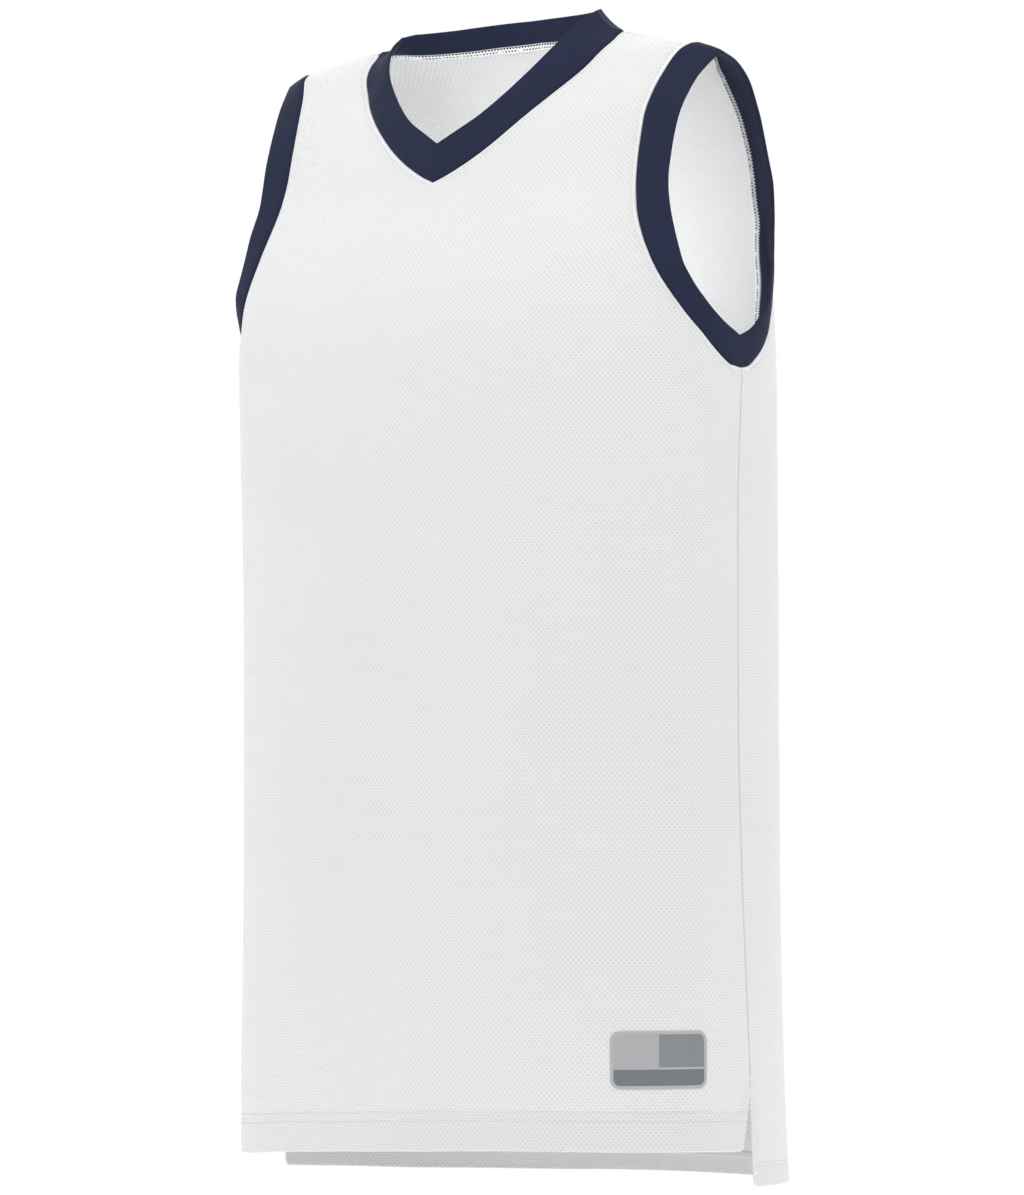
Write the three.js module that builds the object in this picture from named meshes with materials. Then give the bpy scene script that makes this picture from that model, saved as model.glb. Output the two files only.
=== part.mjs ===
// A sleeveless V-neck basketball jersey in a men's medium, hollow as a general figure fills it.
// It is cut as a front and a back panel of mesh cloth, a band round the neck, a band round each
// armhole and a plain tag pressed on above the front hem. Both side seams end in an open vent, and
// the back hem hangs lower than the front one.
//
// Frame: millimetres, +Z up, the front faces -Y and the wearer's left side is +X. The origin is
// midway between the two neck points, at the height of the shoulder line that carries the garment.
// Angles go round the body in degrees: 0 is the centre front, 90 the side, 180 the centre back.

import * as THREE from "three";

const clothWall = 1.6;
const hemWall = 2.4;
const bandWall = 2.2;
const tagWall = 0.8;
const pieceGap = 0.3;

const hemAllowance = 25;
const neckCrown = 0.7;
const neckHollow = 3.2;
const hollowFrom = 0.7;
const armCrown = 0.3;
const bandRound = 1.2;
const bandEdgeWall = 0.9;
const bandSeamGap = 0.4;
const rightNeckDrop = 4.1;
const rightNeckSpread = 3.5;

const rightShoulderLift = 5.2;
const liftInner = 80;
const liftOuter = 120;
const liftFoot = -60;
const liftHead = -18;

const underarmZ = -230;
const ventTopZ = -696.5;
const frontHemZ = -738.5;
const backHemZ = -760.5;
const ventFrontSwing = -9.5;
const ventBackSwing = 5.5;
const ventCurve = 1.2;

const tagWidth = 64;
const tagHeight = 38;
const tagCorner = 6;
const tagCentreZ = -676.5;
const tagInnerX = 146.5;

// Level sections of the body, each two half superellipses that meet at the sides.
const sections = [
  { z: 10, halfWidth: 55, front: 2, frontPower: 2, back: 44, backPower: 2 },
  { z: 0, halfWidth: 95, front: 4.5, frontPower: 2, back: 54, backPower: 2 },
  { z: -2, halfWidth: 100.5, front: 6, frontPower: 2, back: 55, backPower: 2.05 },
  { z: -5.5, halfWidth: 113, front: 9.5, frontPower: 2, back: 56.7, backPower: 2.13 },
  { z: -10, halfWidth: 132, front: 15, frontPower: 2, back: 59, backPower: 2.2 },
  { z: -14.5, halfWidth: 158, front: 20.5, frontPower: 2, back: 61, backPower: 2.3 },
  { z: -22, halfWidth: 185, front: 27.5, frontPower: 2, back: 66, backPower: 2.5 },
  { z: -31, halfWidth: 190, front: 34.5, frontPower: 2, back: 74, backPower: 2.6 },
  { z: -47, halfWidth: 190.5, front: 48.5, frontPower: 2, back: 90, backPower: 2.6 },
  { z: -62, halfWidth: 190.5, front: 58.5, frontPower: 2, back: 101, backPower: 2.6 },
  { z: -86, halfWidth: 191, front: 68.5, frontPower: 2, back: 113, backPower: 2.6 },
  { z: -105, halfWidth: 191, front: 75.5, frontPower: 2.08, back: 117.5, backPower: 2.6 },
  { z: -144, halfWidth: 191.5, front: 97, frontPower: 2.2, back: 120, backPower: 2.6 },
  { z: -178, halfWidth: 192, front: 110, frontPower: 2.3, back: 120.5, backPower: 2.6 },
  { z: -217, halfWidth: 192.5, front: 117, frontPower: 2.3, back: 123.5, backPower: 2.6 },
  { z: -255, halfWidth: 192.5, front: 117, frontPower: 2.3, back: 127, backPower: 2.6 },
  { z: -330, halfWidth: 192.5, front: 112.5, frontPower: 2.28, back: 129.5, backPower: 2.6 },
  { z: -420, halfWidth: 192.5, front: 110, frontPower: 2.27, back: 131.5, backPower: 2.6 },
  { z: -520, halfWidth: 192.5, front: 109.8, frontPower: 2.27, back: 134, backPower: 2.6 },
  { z: -620, halfWidth: 192.7, front: 111.3, frontPower: 2.28, back: 137, backPower: 2.6 },
  { z: -700, halfWidth: 193, front: 112, frontPower: 2.3, back: 141, backPower: 2.6 },
  { z: -765, halfWidth: 193.5, front: 108.5, frontPower: 2.3, back: 148.5, backPower: 2.6 },
];

// Where the side seam runs, as a distance behind the side.
const sideSeam = [
  { z: -765, seam: 10.5 },
  { z: -696, seam: 10.5 },
  { z: -650, seam: 8 },
  { z: -560, seam: 2 },
  { z: -450, seam: -2 },
  { z: -330, seam: -2 },
  { z: -230, seam: 3 },
];

// How the hems hang, by the angle from the panel's centre line towards the wearer's left.
const frontHem = [
  { turn: -90, z: -748.5 },
  { turn: -68, z: -747.3 },
  { turn: -45, z: -742.8 },
  { turn: -20, z: -740 },
  { turn: 0, z: -738.5 },
  { turn: 25, z: -736.6 },
  { turn: 50, z: -735.2 },
  { turn: 72, z: -735.4 },
  { turn: 90, z: -737 },
];
const backHem = [
  { turn: -90, z: -760.5 },
  { turn: -73, z: -763.8 },
  { turn: -50, z: -766.8 },
  { turn: -25, z: -766.2 },
  { turn: 0, z: -764.2 },
  { turn: 25, z: -763.1 },
  { turn: 55, z: -762 },
  { turn: 90, z: -760.5 },
];

// The neckline seam from the centre front to the shoulder, and on to the centre back.
const frontNeckSeam = [
  { x: 0, z: -103 },
  { x: 11.6, z: -97.8 },
  { x: 33.2, z: -84.7 },
  { x: 59.7, z: -62 },
  { x: 82.3, z: -38.5 },
  { x: 94.5, z: -22 },
  { x: 99, z: -10 },
  { x: 100.5, z: -2 },
];
const backNeckSeam = [
  { x: 90, z: 0.3 },
  { x: 72, z: 1.7 },
  { x: 51, z: 3.2 },
  { x: 29, z: 4.7 },
  { x: 0, z: 5.5 },
];

// The free edge of the neckband, from the point of the V round to the centre back.
const neckEdge = [
  { x: 0, y: -69.7, z: -76.3 },
  { x: 13.8, y: -65.6, z: -67.8 },
  { x: 27.8, y: -61, z: -58.7 },
  { x: 48.8, y: -48.1, z: -37.7 },
  { x: 66.1, y: -32.1, z: -14.2 },
  { x: 75.5, y: -13, z: 5 },
  { x: 78.5, y: 1, z: 13.6 },
  { x: 73.5, y: 13, z: 16.6 },
  { x: 50, y: 27, z: 17.2 },
  { x: 0, y: 34, z: 17.4 },
];

// The armhole seam, from the shoulder down the front to the underarm and up the back.
const frontArmSeam = [
  { x: 158, z: -14.5 },
  { x: 150.7, z: -31.5 },
  { x: 146.7, z: -48.9 },
  { x: 144.7, z: -67.3 },
  { x: 144.7, z: -86.2 },
  { x: 146.2, z: -105.5 },
  { x: 150.3, z: -125 },
  { x: 156.9, z: -144 },
  { x: 164.8, z: -162 },
  { x: 172.3, z: -178 },
  { x: 180.2, z: -194 },
  { x: 188, z: -211.5 },
  { x: 191.6, z: -225 },
  { x: 192.5, z: -230 },
];
const backArmSeam = [
  { x: 192.5, z: -230 },
  { x: 191.9, z: -223.8 },
  { x: 190.1, z: -213.8 },
  { x: 188.3, z: -204.9 },
  { x: 186.5, z: -194.5 },
  { x: 183.4, z: -182.6 },
  { x: 179, z: -171 },
  { x: 171.5, z: -157 },
  { x: 162, z: -140 },
  { x: 154.5, z: -122 },
  { x: 151, z: -102 },
  { x: 150.5, z: -78 },
  { x: 149.5, z: -56 },
  { x: 147.8, z: -39 },
  { x: 147, z: -24 },
  { x: 158, z: -14.5 },
];

// The free edge of the armhole band, in the same order.
const frontArmEdge = [
  { x: 178.9, y: 0, z: -22 },
  { x: 173, y: -20.3, z: -42 },
  { x: 169.3, y: -36.4, z: -70.5 },
  { x: 168.6, y: -44.7, z: -101.3 },
  { x: 174.5, y: -51.1, z: -132.5 },
  { x: 182.8, y: -51.6, z: -162 },
  { x: 186.7, y: -46.8, z: -175 },
  { x: 190.3, y: -35.3, z: -188 },
  { x: 192.2, y: -18.3, z: -200 },
  { x: 192.5, y: 1, z: -208.5 },
];
const backArmEdge = [
  { x: 192.5, y: 1, z: -208.5 },
  { x: 192.8, y: 14.3, z: -203 },
  { x: 194, y: 24, z: -193.8 },
  { x: 194.4, y: 32, z: -184 },
  { x: 190.3, y: 41.3, z: -170 },
  { x: 183.5, y: 53.5, z: -156 },
  { x: 175, y: 68, z: -141 },
  { x: 169.3, y: 78, z: -126 },
  { x: 169.8, y: 76.3, z: -104 },
  { x: 169, y: 69.3, z: -79 },
  { x: 169.3, y: 59.2, z: -54 },
  { x: 171.8, y: 43.5, z: -35 },
  { x: 175, y: 23, z: -25.5 },
  { x: 178.9, y: 0, z: -22 },
];

const halfColumns = 14;
const rowsAboveVent = 10;
const upperRows = 22;
const armSpacing = 0.9;
const centreShare = { front: 0.45, back: 0.64 };
const normalStep = 0.05;

const degrees = Math.PI / 180;
const lerp = (a, b, t) => a + (b - a) * t;

// A smooth curve through a table: every column is a cubic in the running column, with slopes that
// never overshoot the rows. It returns a function that reads one column at one running value.
function throughRows(rows, running) {
  const sorted = [...rows].sort((p, q) => p[running] - q[running]);
  const knots = sorted.map((row) => row[running]);
  const last = knots.length - 1;
  const slopesOf = (column) => {
    const secant = knots.slice(1).map((k, i) => {
      return (sorted[i + 1][column] - sorted[i][column]) / (k - knots[i]);
    });
    return sorted.map((_, i) => {
      if (i === 0 || i === last) return secant[i === 0 ? 0 : last - 1];
      const [before, after] = [secant[i - 1], secant[i]];
      if (before * after <= 0) return 0;
      const [left, right] = [knots[i] - knots[i - 1], knots[i + 1] - knots[i]];
      const [heavy, light] = [2 * right + left, right + 2 * left];
      return (heavy + light) / (heavy / before + light / after);
    });
  };
  const slopes = {};
  return (value, column) => {
    slopes[column] ??= slopesOf(column);
    const v = Math.min(Math.max(value, knots[0]), knots[last]);
    let i = 0;
    while (i < last - 1 && v > knots[i + 1]) i += 1;
    const width = knots[i + 1] - knots[i];
    const t = (v - knots[i]) / width;
    const [from, to] = [sorted[i][column], sorted[i + 1][column]];
    const [leave, arrive] = [slopes[column][i] * width, slopes[column][i + 1] * width];
    const spare = to - from;
    return from + t * (leave + t * (3 * spare - 2 * leave - arrive + t * (leave + arrive - 2 * spare)));
  };
}

const section = throughRows(sections, "z");
const seamBehindSide = throughRows(sideSeam, "z");
const sideSeamAngle = (z) => 90 + Math.asin(seamBehindSide(z, "seam") / section(z, "halfWidth")) / degrees;
const underarm = { angle: sideSeamAngle(underarmZ), z: underarmZ };

// The point of the body's surface at one angle and height.
function bodyPoint(angle, z) {
  const side = Math.sin(angle * degrees);
  const ahead = Math.cos(angle * degrees);
  const half = ahead >= 0 ? "front" : "back";
  const power = section(z, half + "Power");
  const across = Math.abs(side) / section(z, "halfWidth");
  const deep = Math.abs(ahead) / section(z, half);
  const radius = (across ** power + deep ** power) ** (-1 / power);
  return new THREE.Vector3(radius * side, -radius * ahead, z);
}

// The outward normal there, from two short steps over the surface.
function bodyNormal(angle, z) {
  const round = bodyPoint(angle + normalStep, z).sub(bodyPoint(angle - normalStep, z));
  const up = bodyPoint(angle, z + normalStep).sub(bodyPoint(angle, z - normalStep));
  return round.cross(up).normalize();
}

// The angle at which the front or back of the section at height z stands x to the side.
function angleAt(half, x, z) {
  const power = section(z, half + "Power");
  const share = Math.min(1, x / section(z, "halfWidth"));
  const depth = section(z, half) * (1 - share ** power) ** (1 / power);
  return Math.atan2(x, half === "front" ? depth : -depth) / degrees;
}

// A curve through rows with a place each, read by the share of its length from 0 to 1.
function pathThrough(rows, columns, placeOf) {
  const places = rows.map(placeOf);
  let run = 0;
  const stations = rows.map((row, i) => {
    if (i > 0) run += places[i].distanceTo(places[i - 1]);
    return { ...row, run };
  });
  const read = throughRows(stations, "run");
  return (share) => Object.fromEntries(columns.map((c) => [c, read(share * run, c)]));
}

// A seam over the front or back surface, read as an angle and a height.
function seamPath(half, rows) {
  const path = pathThrough(rows, ["x", "z"], ({ x, z }) => bodyPoint(angleAt(half, x, z), z));
  return (share) => {
    const { x, z } = path(share);
    return { angle: angleAt(half, x, z), z };
  };
}

const pointOf = ({ x, y, z }) => new THREE.Vector3(x, y, z);
const edgePath = (rows) => pathThrough(rows, ["x", "y", "z"], pointOf);

const neckPoint = frontNeckSeam[frontNeckSeam.length - 1];
const neckSeams = {
  front: seamPath("front", frontNeckSeam),
  back: seamPath("back", [neckPoint, ...backNeckSeam].reverse()),
};
const upFrontArm = seamPath("front", [...frontArmSeam].reverse());
const upBackArm = seamPath("back", backArmSeam);
const armSeams = {
  front: (share) => (share === 0 ? underarm : upFrontArm(share)),
  back: (share) => (share === 0 ? underarm : upBackArm(share)),
};

// The two panels: where each is centred, which way its sides lie and how its hem hangs.
const panels = {
  front: { centre: 0, turn: 1, hemZ: frontHemZ, hem: throughRows(frontHem, "turn"), swing: ventFrontSwing },
  back: { centre: 180, turn: -1, hemZ: backHemZ, hem: throughRows(backHem, "turn"), swing: ventBackSwing },
};

// The angle of a panel's side edge: the side seam, and below it the edge of the open vent.
function sideAngle(panel, z) {
  const opened = Math.max(0, (ventTopZ - z) / (ventTopZ - panel.hemZ));
  const clear = (panel.turn * pieceGap) / 2;
  const behind = seamBehindSide(z, "seam") + panel.swing * opened ** ventCurve - clear;
  return 90 + Math.asin(behind / section(z, "halfWidth")) / degrees;
}

// The height of a panel's hem at one angle, on the wearer's left (side 1) or right (side -1).
function hemHeight(panel, angle, side) {
  return panel.hem(Math.abs(angle - panel.centre) * side, "z");
}

// The share of the armhole's length, from the underarm, at which each upper row ends.
const armShare = (row) => (row / upperRows) ** armSpacing;

// How many of a panel's upper rows start at its centre line, below the ones that start at the neck.
const centreRowsOf = (panelName) => Math.round(upperRows * centreShare[panelName]);

// Rows of one half of a panel, from the hem to the shoulder, each a list of angles and heights
// from the centre or the neckline out to the side seam or the armhole.
function halfPanelRows(panelName, side) {
  const panel = panels[panelName];
  const rows = [];
  const ventHeight = ventTopZ - panel.hemZ;
  const lowHeights = [0, hemAllowance / 2, hemAllowance, (hemAllowance + ventHeight) / 2, ventHeight];
  const rise = underarmZ - panel.hemZ;
  for (let i = 1; i < rowsAboveVent; i += 1) {
    lowHeights.push(lerp(ventHeight, rise, i / rowsAboveVent));
  }
  for (const height of lowHeights) {
    const edgeZ = lerp(hemHeight(panel, 90, side), underarmZ, height / rise);
    const edgeAngle = sideAngle(panel, edgeZ);
    const row = [];
    for (let column = 0; column <= halfColumns; column += 1) {
      const angle = lerp(panel.centre, edgeAngle, column / halfColumns);
      row.push({ angle, z: lerp(hemHeight(panel, angle, side), underarmZ, height / rise), height });
    }
    rows.push({ cells: row, joinsCentre: true });
  }
  const neckSeam = neckSeams[panelName];
  const armSeam = armSeams[panelName];
  const neckStart = neckSeam(0);
  const centreRows = centreRowsOf(panelName);
  for (let i = 0; i <= upperRows; i += 1) {
    const onCentre = i <= centreRows;
    const inner = onCentre
      ? { angle: panel.centre, z: lerp(underarmZ, neckStart.z, i / centreRows) }
      : neckSeam((i - centreRows) / (upperRows - centreRows));
    const outer = armSeam(armShare(i));
    if (i === 0) outer.angle = sideAngle(panel, underarmZ);
    const clear = i === upperRows ? ridgeClearance(panel) : null;
    const row = [];
    for (let column = 0; column <= halfColumns; column += 1) {
      const share = column / halfColumns;
      const z = lerp(inner.z, outer.z, share);
      const angle = clear ? clear(z) : lerp(inner.angle, outer.angle, share);
      row.push({ angle, z, height: z - panel.hemZ });
    }
    rows.push({ cells: row, joinsCentre: onCentre });
  }
  return rows;
}

// Along the shoulder seam a panel stops half a gap short of the ridge.
function ridgeClearance(panel) {
  return (z) => 90 - (panel.turn * Math.asin(pieceGap / 2 / section(z, "halfWidth"))) / degrees;
}

// The wearer's right shoulder stands a little higher than the left one.
function shoulderLift({ x, z }) {
  const outwards = THREE.MathUtils.smoothstep(-x, liftInner, liftOuter);
  return rightShoulderLift * outwards * THREE.MathUtils.smoothstep(z, liftFoot, liftHead);
}

// A solid from a list of four-cornered faces, each seen anticlockwise from outside and split along
// its shorter diagonal.
function solidOfFaces(faces) {
  const positions = [];
  for (const [a, b, c, d] of faces) {
    const split = a.distanceTo(c) <= b.distanceTo(d) ? [a, b, c, a, c, d] : [b, c, d, b, d, a];
    for (const corner of split) positions.push(corner.x, corner.y, corner.z + shoulderLift(corner));
  }
  const geometry = new THREE.BufferGeometry();
  geometry.setAttribute("position", new THREE.Float32BufferAttribute(positions, 3));
  geometry.computeVertexNormals();
  return geometry;
}

// The wall of one panel: its outer and inner faces, and the cut edges that close it.
function panelGeometry(panelName) {
  const panel = panels[panelName];
  const faces = [];
  for (const side of [1, -1]) {
    const rows = halfPanelRows(panelName, side).map(({ cells, joinsCentre }) => ({
      joinsCentre,
      cells: cells.map(({ angle, z, height }, column) => {
        const middle = bodyPoint(angle, z);
        const out = bodyNormal(angle, z);
        if (column === 0 && joinsCentre) {
          middle.x = 0;
          out.setX(0).normalize();
        }
        const doubled = 1 - THREE.MathUtils.smoothstep(height, hemAllowance - 1, hemAllowance + 1);
        const inward = clothWall / 2 + doubled * (hemWall - clothWall);
        const outer = middle.clone().addScaledVector(out, clothWall / 2);
        const inner = middle.clone().addScaledVector(out, -inward);
        for (const corner of [outer, inner]) corner.x *= side;
        return { outer, inner };
      }),
    }));
    const keepsTurn = side * panel.turn > 0;
    const addFace = (a, b, c, d) => faces.push(keepsTurn ? [a, b, c, d] : [d, c, b, a]);
    const last = rows.length - 1;
    for (let r = 0; r < last; r += 1) {
      const [low, high] = [rows[r].cells, rows[r + 1].cells];
      for (let c = 0; c < halfColumns; c += 1) {
        addFace(low[c].outer, low[c + 1].outer, high[c + 1].outer, high[c].outer);
        addFace(high[c].inner, high[c + 1].inner, low[c + 1].inner, low[c].inner);
      }
      const edge = halfColumns;
      addFace(low[edge].outer, low[edge].inner, high[edge].inner, high[edge].outer);
      if (!rows[r + 1].joinsCentre) {
        addFace(low[0].inner, low[0].outer, high[0].outer, high[0].inner);
      }
    }
    for (let c = 0; c < halfColumns; c += 1) {
      const [hem, top] = [rows[0].cells, rows[last].cells];
      addFace(hem[c].inner, hem[c + 1].inner, hem[c + 1].outer, hem[c].outer);
      addFace(top[c].outer, top[c + 1].outer, top[c + 1].inner, top[c].inner);
    }
  }
  return solidOfFaces(faces);
}

// A closed band from a ring of stations, each with its seam point, the cloth's outward direction
// there, its free-edge point and how far it bows out between them. The wall starts as thick as the
// cloth, grows to the band's own and thins over the rounded free edge.
function bandGeometry(stations, outwards) {
  const count = stations.length;
  const middleLine = stations.map(({ seam, edge }) => seam.clone().lerp(edge, 0.5));
  const profiles = stations.map(({ seam, seamOut, edge, crown }, i) => {
    const across = edge.clone().sub(seam);
    const width = across.length();
    const along = middleLine[(i + 1) % count].clone().sub(middleLine[(i + count - 1) % count]);
    const out = along.cross(across).normalize().multiplyScalar(outwards);
    const start = seam.clone().addScaledVector(across, bandSeamGap / width);
    const fullWall = [0.1, 0.4, 0.7, 1 - bandRound / width].map((share) => {
      return { share, half: bandWall / 2, direction: out };
    });
    const columns = [
      { share: 0, half: clothWall / 2, direction: seamOut },
      ...fullWall,
      { share: 1, half: bandEdgeWall / 2, direction: out },
    ];
    return columns.map(({ share, half, direction }) => {
      const middle = start.clone().lerp(edge, share);
      middle.addScaledVector(out, crown * Math.sin(Math.PI * share));
      return {
        outer: middle.clone().addScaledVector(direction, half),
        inner: middle.clone().addScaledVector(direction, -half),
      };
    });
  });
  const faces = [];
  const addFace = (a, b, c, d) => faces.push(outwards > 0 ? [a, b, c, d] : [d, c, b, a]);
  const free = profiles[0].length - 1;
  for (let i = 0; i < count; i += 1) {
    const [here, next] = [profiles[i], profiles[(i + 1) % count]];
    for (let c = 0; c < free; c += 1) {
      addFace(here[c].outer, next[c].outer, next[c + 1].outer, here[c + 1].outer);
      addFace(here[c + 1].inner, next[c + 1].inner, next[c].inner, here[c].inner);
    }
    addFace(here[0].inner, next[0].inner, next[0].outer, here[0].outer);
    addFace(here[free].outer, next[free].outer, next[free].inner, here[free].inner);
  }
  return solidOfFaces(faces);
}

// Stations along one seam and the free edge beside it. The panel's own corners on the seam are
// stations too, and those between them lie on the straight stretch that the panel has there.
function stationsAlong(seamPathOf, edgePathOf, segments, perSegment, shareOf, crownOf) {
  const corners = [];
  for (let i = 0; i <= segments; i += 1) {
    const place = seamPathOf(shareOf(i));
    corners.push({
      seam: bodyPoint(place.angle, place.z),
      seamOut: bodyNormal(place.angle, place.z),
    });
  }
  const stations = [];
  for (let i = 0; i <= segments * perSegment; i += 1) {
    const from = Math.min(Math.floor(i / perSegment), segments - 1);
    const share = i / perSegment - from;
    stations.push({
      seam: corners[from].seam.clone().lerp(corners[from + 1].seam, share),
      seamOut: corners[from].seamOut.clone().lerp(corners[from + 1].seamOut, share).normalize(),
      edge: pointOf(edgePathOf(shareOf(i / perSegment))),
      crown: crownOf(shareOf(i / perSegment)),
    });
  }
  return stations;
}

// The neckband bows out at the front and the back, and is hollow where it stands up beside the neck.
function neckCrownAt(share) {
  return lerp(neckCrown, -neckHollow, THREE.MathUtils.smoothstep(share, hollowFrom, 1));
}

// Stations round the neck: the left half is worked out and the right half mirrors it, with its
// free edge a little lower and further out beside the shoulder.
function neckStationsRound() {
  const highest = neckEdge.findIndex(({ y }) => y > 0);
  const front = edgePath(neckEdge.slice(0, highest + 1));
  const back = edgePath(neckEdge.slice(highest).reverse());
  const halfOf = (half, edge) => {
    const segments = upperRows - centreRowsOf(half);
    return stationsAlong(neckSeams[half], edge, segments, 2, (i) => i / segments, neckCrownAt);
  };
  const left = [...halfOf("front", front), ...halfOf("back", back).reverse().slice(1)];
  for (const middle of [left[0], left[left.length - 1]]) {
    middle.seam.x = 0;
    middle.edge.x = 0;
    middle.seamOut.setX(0).normalize();
  }
  const shoulder = Math.max(...neckEdge.map(({ x }) => x));
  const right = left.slice(1, -1).reverse().map(({ seam, seamOut, edge, crown }) => {
    const near = (edge.x / shoulder) ** 2;
    return {
      crown,
      seam: new THREE.Vector3(-seam.x, seam.y, seam.z),
      seamOut: new THREE.Vector3(-seamOut.x, seamOut.y, seamOut.z),
      edge: new THREE.Vector3(-edge.x - rightNeckSpread * near, edge.y, edge.z - rightNeckDrop * near),
    };
  });
  return [...left, ...right];
}

// Stations round one armhole, from the shoulder down the front and up the back.
function armStationsRound(side) {
  const edges = { front: edgePath([...frontArmEdge].reverse()), back: edgePath(backArmEdge) };
  const halfOf = (half) => {
    return stationsAlong(armSeams[half], edges[half], upperRows, 1, armShare, () => armCrown);
  };
  const ring = [...halfOf("front").reverse(), ...halfOf("back").slice(1, -1)];
  for (const { seam, seamOut, edge } of ring) {
    for (const place of [seam, seamOut, edge]) place.x *= side;
  }
  return ring;
}

// The angle a given length of cloth further round the section at height z.
function angleAfter(startAngle, length, z) {
  const steps = 40;
  const stride = length / steps;
  const nearby = 0.5;
  let angle = startAngle;
  for (let i = 0; i < steps; i += 1) {
    const perAngle = bodyPoint(angle + nearby, z).distanceTo(bodyPoint(angle - nearby, z)) / (2 * nearby);
    angle += stride / perAngle;
  }
  return angle;
}

// The pressed-on tag: a rounded rectangle on the panel's own points, moved out.
function tagGeometry() {
  const cornerSteps = 4;
  const across = [];
  for (let i = 0; i <= cornerSteps; i += 1) {
    across.push(tagCorner * (1 - Math.cos((i / cornerSteps) * 90 * degrees)));
  }
  const middleSteps = 5;
  for (let i = 1; i < middleSteps; i += 1) {
    across.push(lerp(tagCorner, tagWidth - tagCorner, i / middleSteps));
  }
  across.push(...across.slice(0, cornerSteps + 1).map((a) => tagWidth - a).reverse());
  const up = [-1, -0.5, 0, 0.5, 1];
  const startAngle = angleAt("front", tagInnerX, tagCentreZ);
  const lift = clothWall / 2 + pieceGap;
  const grid = across.map((distance) => {
    const fromEnd = Math.max(0, Math.min(distance, tagWidth - distance));
    const intoCorner = Math.max(0, tagCorner - fromEnd);
    const halfHeight = tagHeight / 2 - tagCorner + Math.sqrt(tagCorner ** 2 - intoCorner ** 2);
    const angle = angleAfter(startAngle, distance, tagCentreZ);
    return up.map((share) => {
      const z = tagCentreZ + share * halfHeight;
      const out = bodyNormal(angle, z);
      const base = bodyPoint(angle, z);
      return {
        inner: base.clone().addScaledVector(out, lift),
        outer: base.clone().addScaledVector(out, lift + tagWall),
      };
    });
  });
  const faces = [];
  const [lastAcross, lastUp] = [grid.length - 1, up.length - 1];
  for (let i = 0; i < lastAcross; i += 1) {
    const [here, next] = [grid[i], grid[i + 1]];
    for (let j = 0; j < lastUp; j += 1) {
      faces.push([here[j].outer, next[j].outer, next[j + 1].outer, here[j + 1].outer]);
      faces.push([here[j + 1].inner, next[j + 1].inner, next[j].inner, here[j].inner]);
    }
    faces.push([here[0].inner, next[0].inner, next[0].outer, here[0].outer]);
    faces.push([here[lastUp].outer, next[lastUp].outer, next[lastUp].inner, here[lastUp].inner]);
  }
  const [first, last] = [grid[0], grid[lastAcross]];
  for (let j = 0; j < lastUp; j += 1) {
    faces.push([first[j].outer, first[j + 1].outer, first[j + 1].inner, first[j].inner]);
    faces.push([last[j].inner, last[j + 1].inner, last[j + 1].outer, last[j].outer]);
  }
  return solidOfFaces(faces);
}

const whiteMesh = new THREE.MeshStandardMaterial({ color: 0xececed, roughness: 0.85, metalness: 0 });
const navyRib = new THREE.MeshStandardMaterial({ color: 0x262c44, roughness: 0.8, metalness: 0 });
const greyTag = new THREE.MeshStandardMaterial({ color: 0x85888d, roughness: 0.55, metalness: 0 });

function piece(name, geometry, material) {
  const mesh = new THREE.Mesh(geometry, material);
  mesh.name = name;
  return mesh;
}

const jersey = new THREE.Group();
jersey.add(
  piece("front_panel", panelGeometry("front"), whiteMesh),
  piece("back_panel", panelGeometry("back"), whiteMesh),
  piece("neckband", bandGeometry(neckStationsRound(), 1), navyRib),
  piece("left_armhole_band", bandGeometry(armStationsRound(1), 1), navyRib),
  piece("right_armhole_band", bandGeometry(armStationsRound(-1), -1), navyRib),
  piece("hem_tag", tagGeometry(), greyTag),
);

export default jersey;
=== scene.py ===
import bpy
import numpy as np
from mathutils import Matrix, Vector


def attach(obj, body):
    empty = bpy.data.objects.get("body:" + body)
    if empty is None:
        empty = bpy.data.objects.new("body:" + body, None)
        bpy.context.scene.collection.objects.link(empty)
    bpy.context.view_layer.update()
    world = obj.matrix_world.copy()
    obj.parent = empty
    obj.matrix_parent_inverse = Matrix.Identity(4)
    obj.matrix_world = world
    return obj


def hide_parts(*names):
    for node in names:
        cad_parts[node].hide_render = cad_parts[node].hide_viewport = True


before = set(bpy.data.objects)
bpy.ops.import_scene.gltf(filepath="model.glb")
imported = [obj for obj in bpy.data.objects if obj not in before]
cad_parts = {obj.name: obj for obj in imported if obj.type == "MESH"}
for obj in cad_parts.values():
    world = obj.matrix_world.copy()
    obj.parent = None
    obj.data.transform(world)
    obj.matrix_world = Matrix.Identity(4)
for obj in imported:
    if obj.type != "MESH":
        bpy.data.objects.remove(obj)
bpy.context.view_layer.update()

# The finished looks of a filled-out basketball jersey: mesh cloth with soft folds, doubled navy
# bands, the sewing and a plain tag. Lengths in this script are millimetres until a piece is made.
# Angles go round the body in degrees: 0 is the centre front, 90 the wearer's left, 180 the back.
MM = 0.001


def table(columns, rows):
    """A short table as one array for each named column."""
    return {name: np.array(values, float) for name, values in zip(columns, zip(*rows))}


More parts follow.
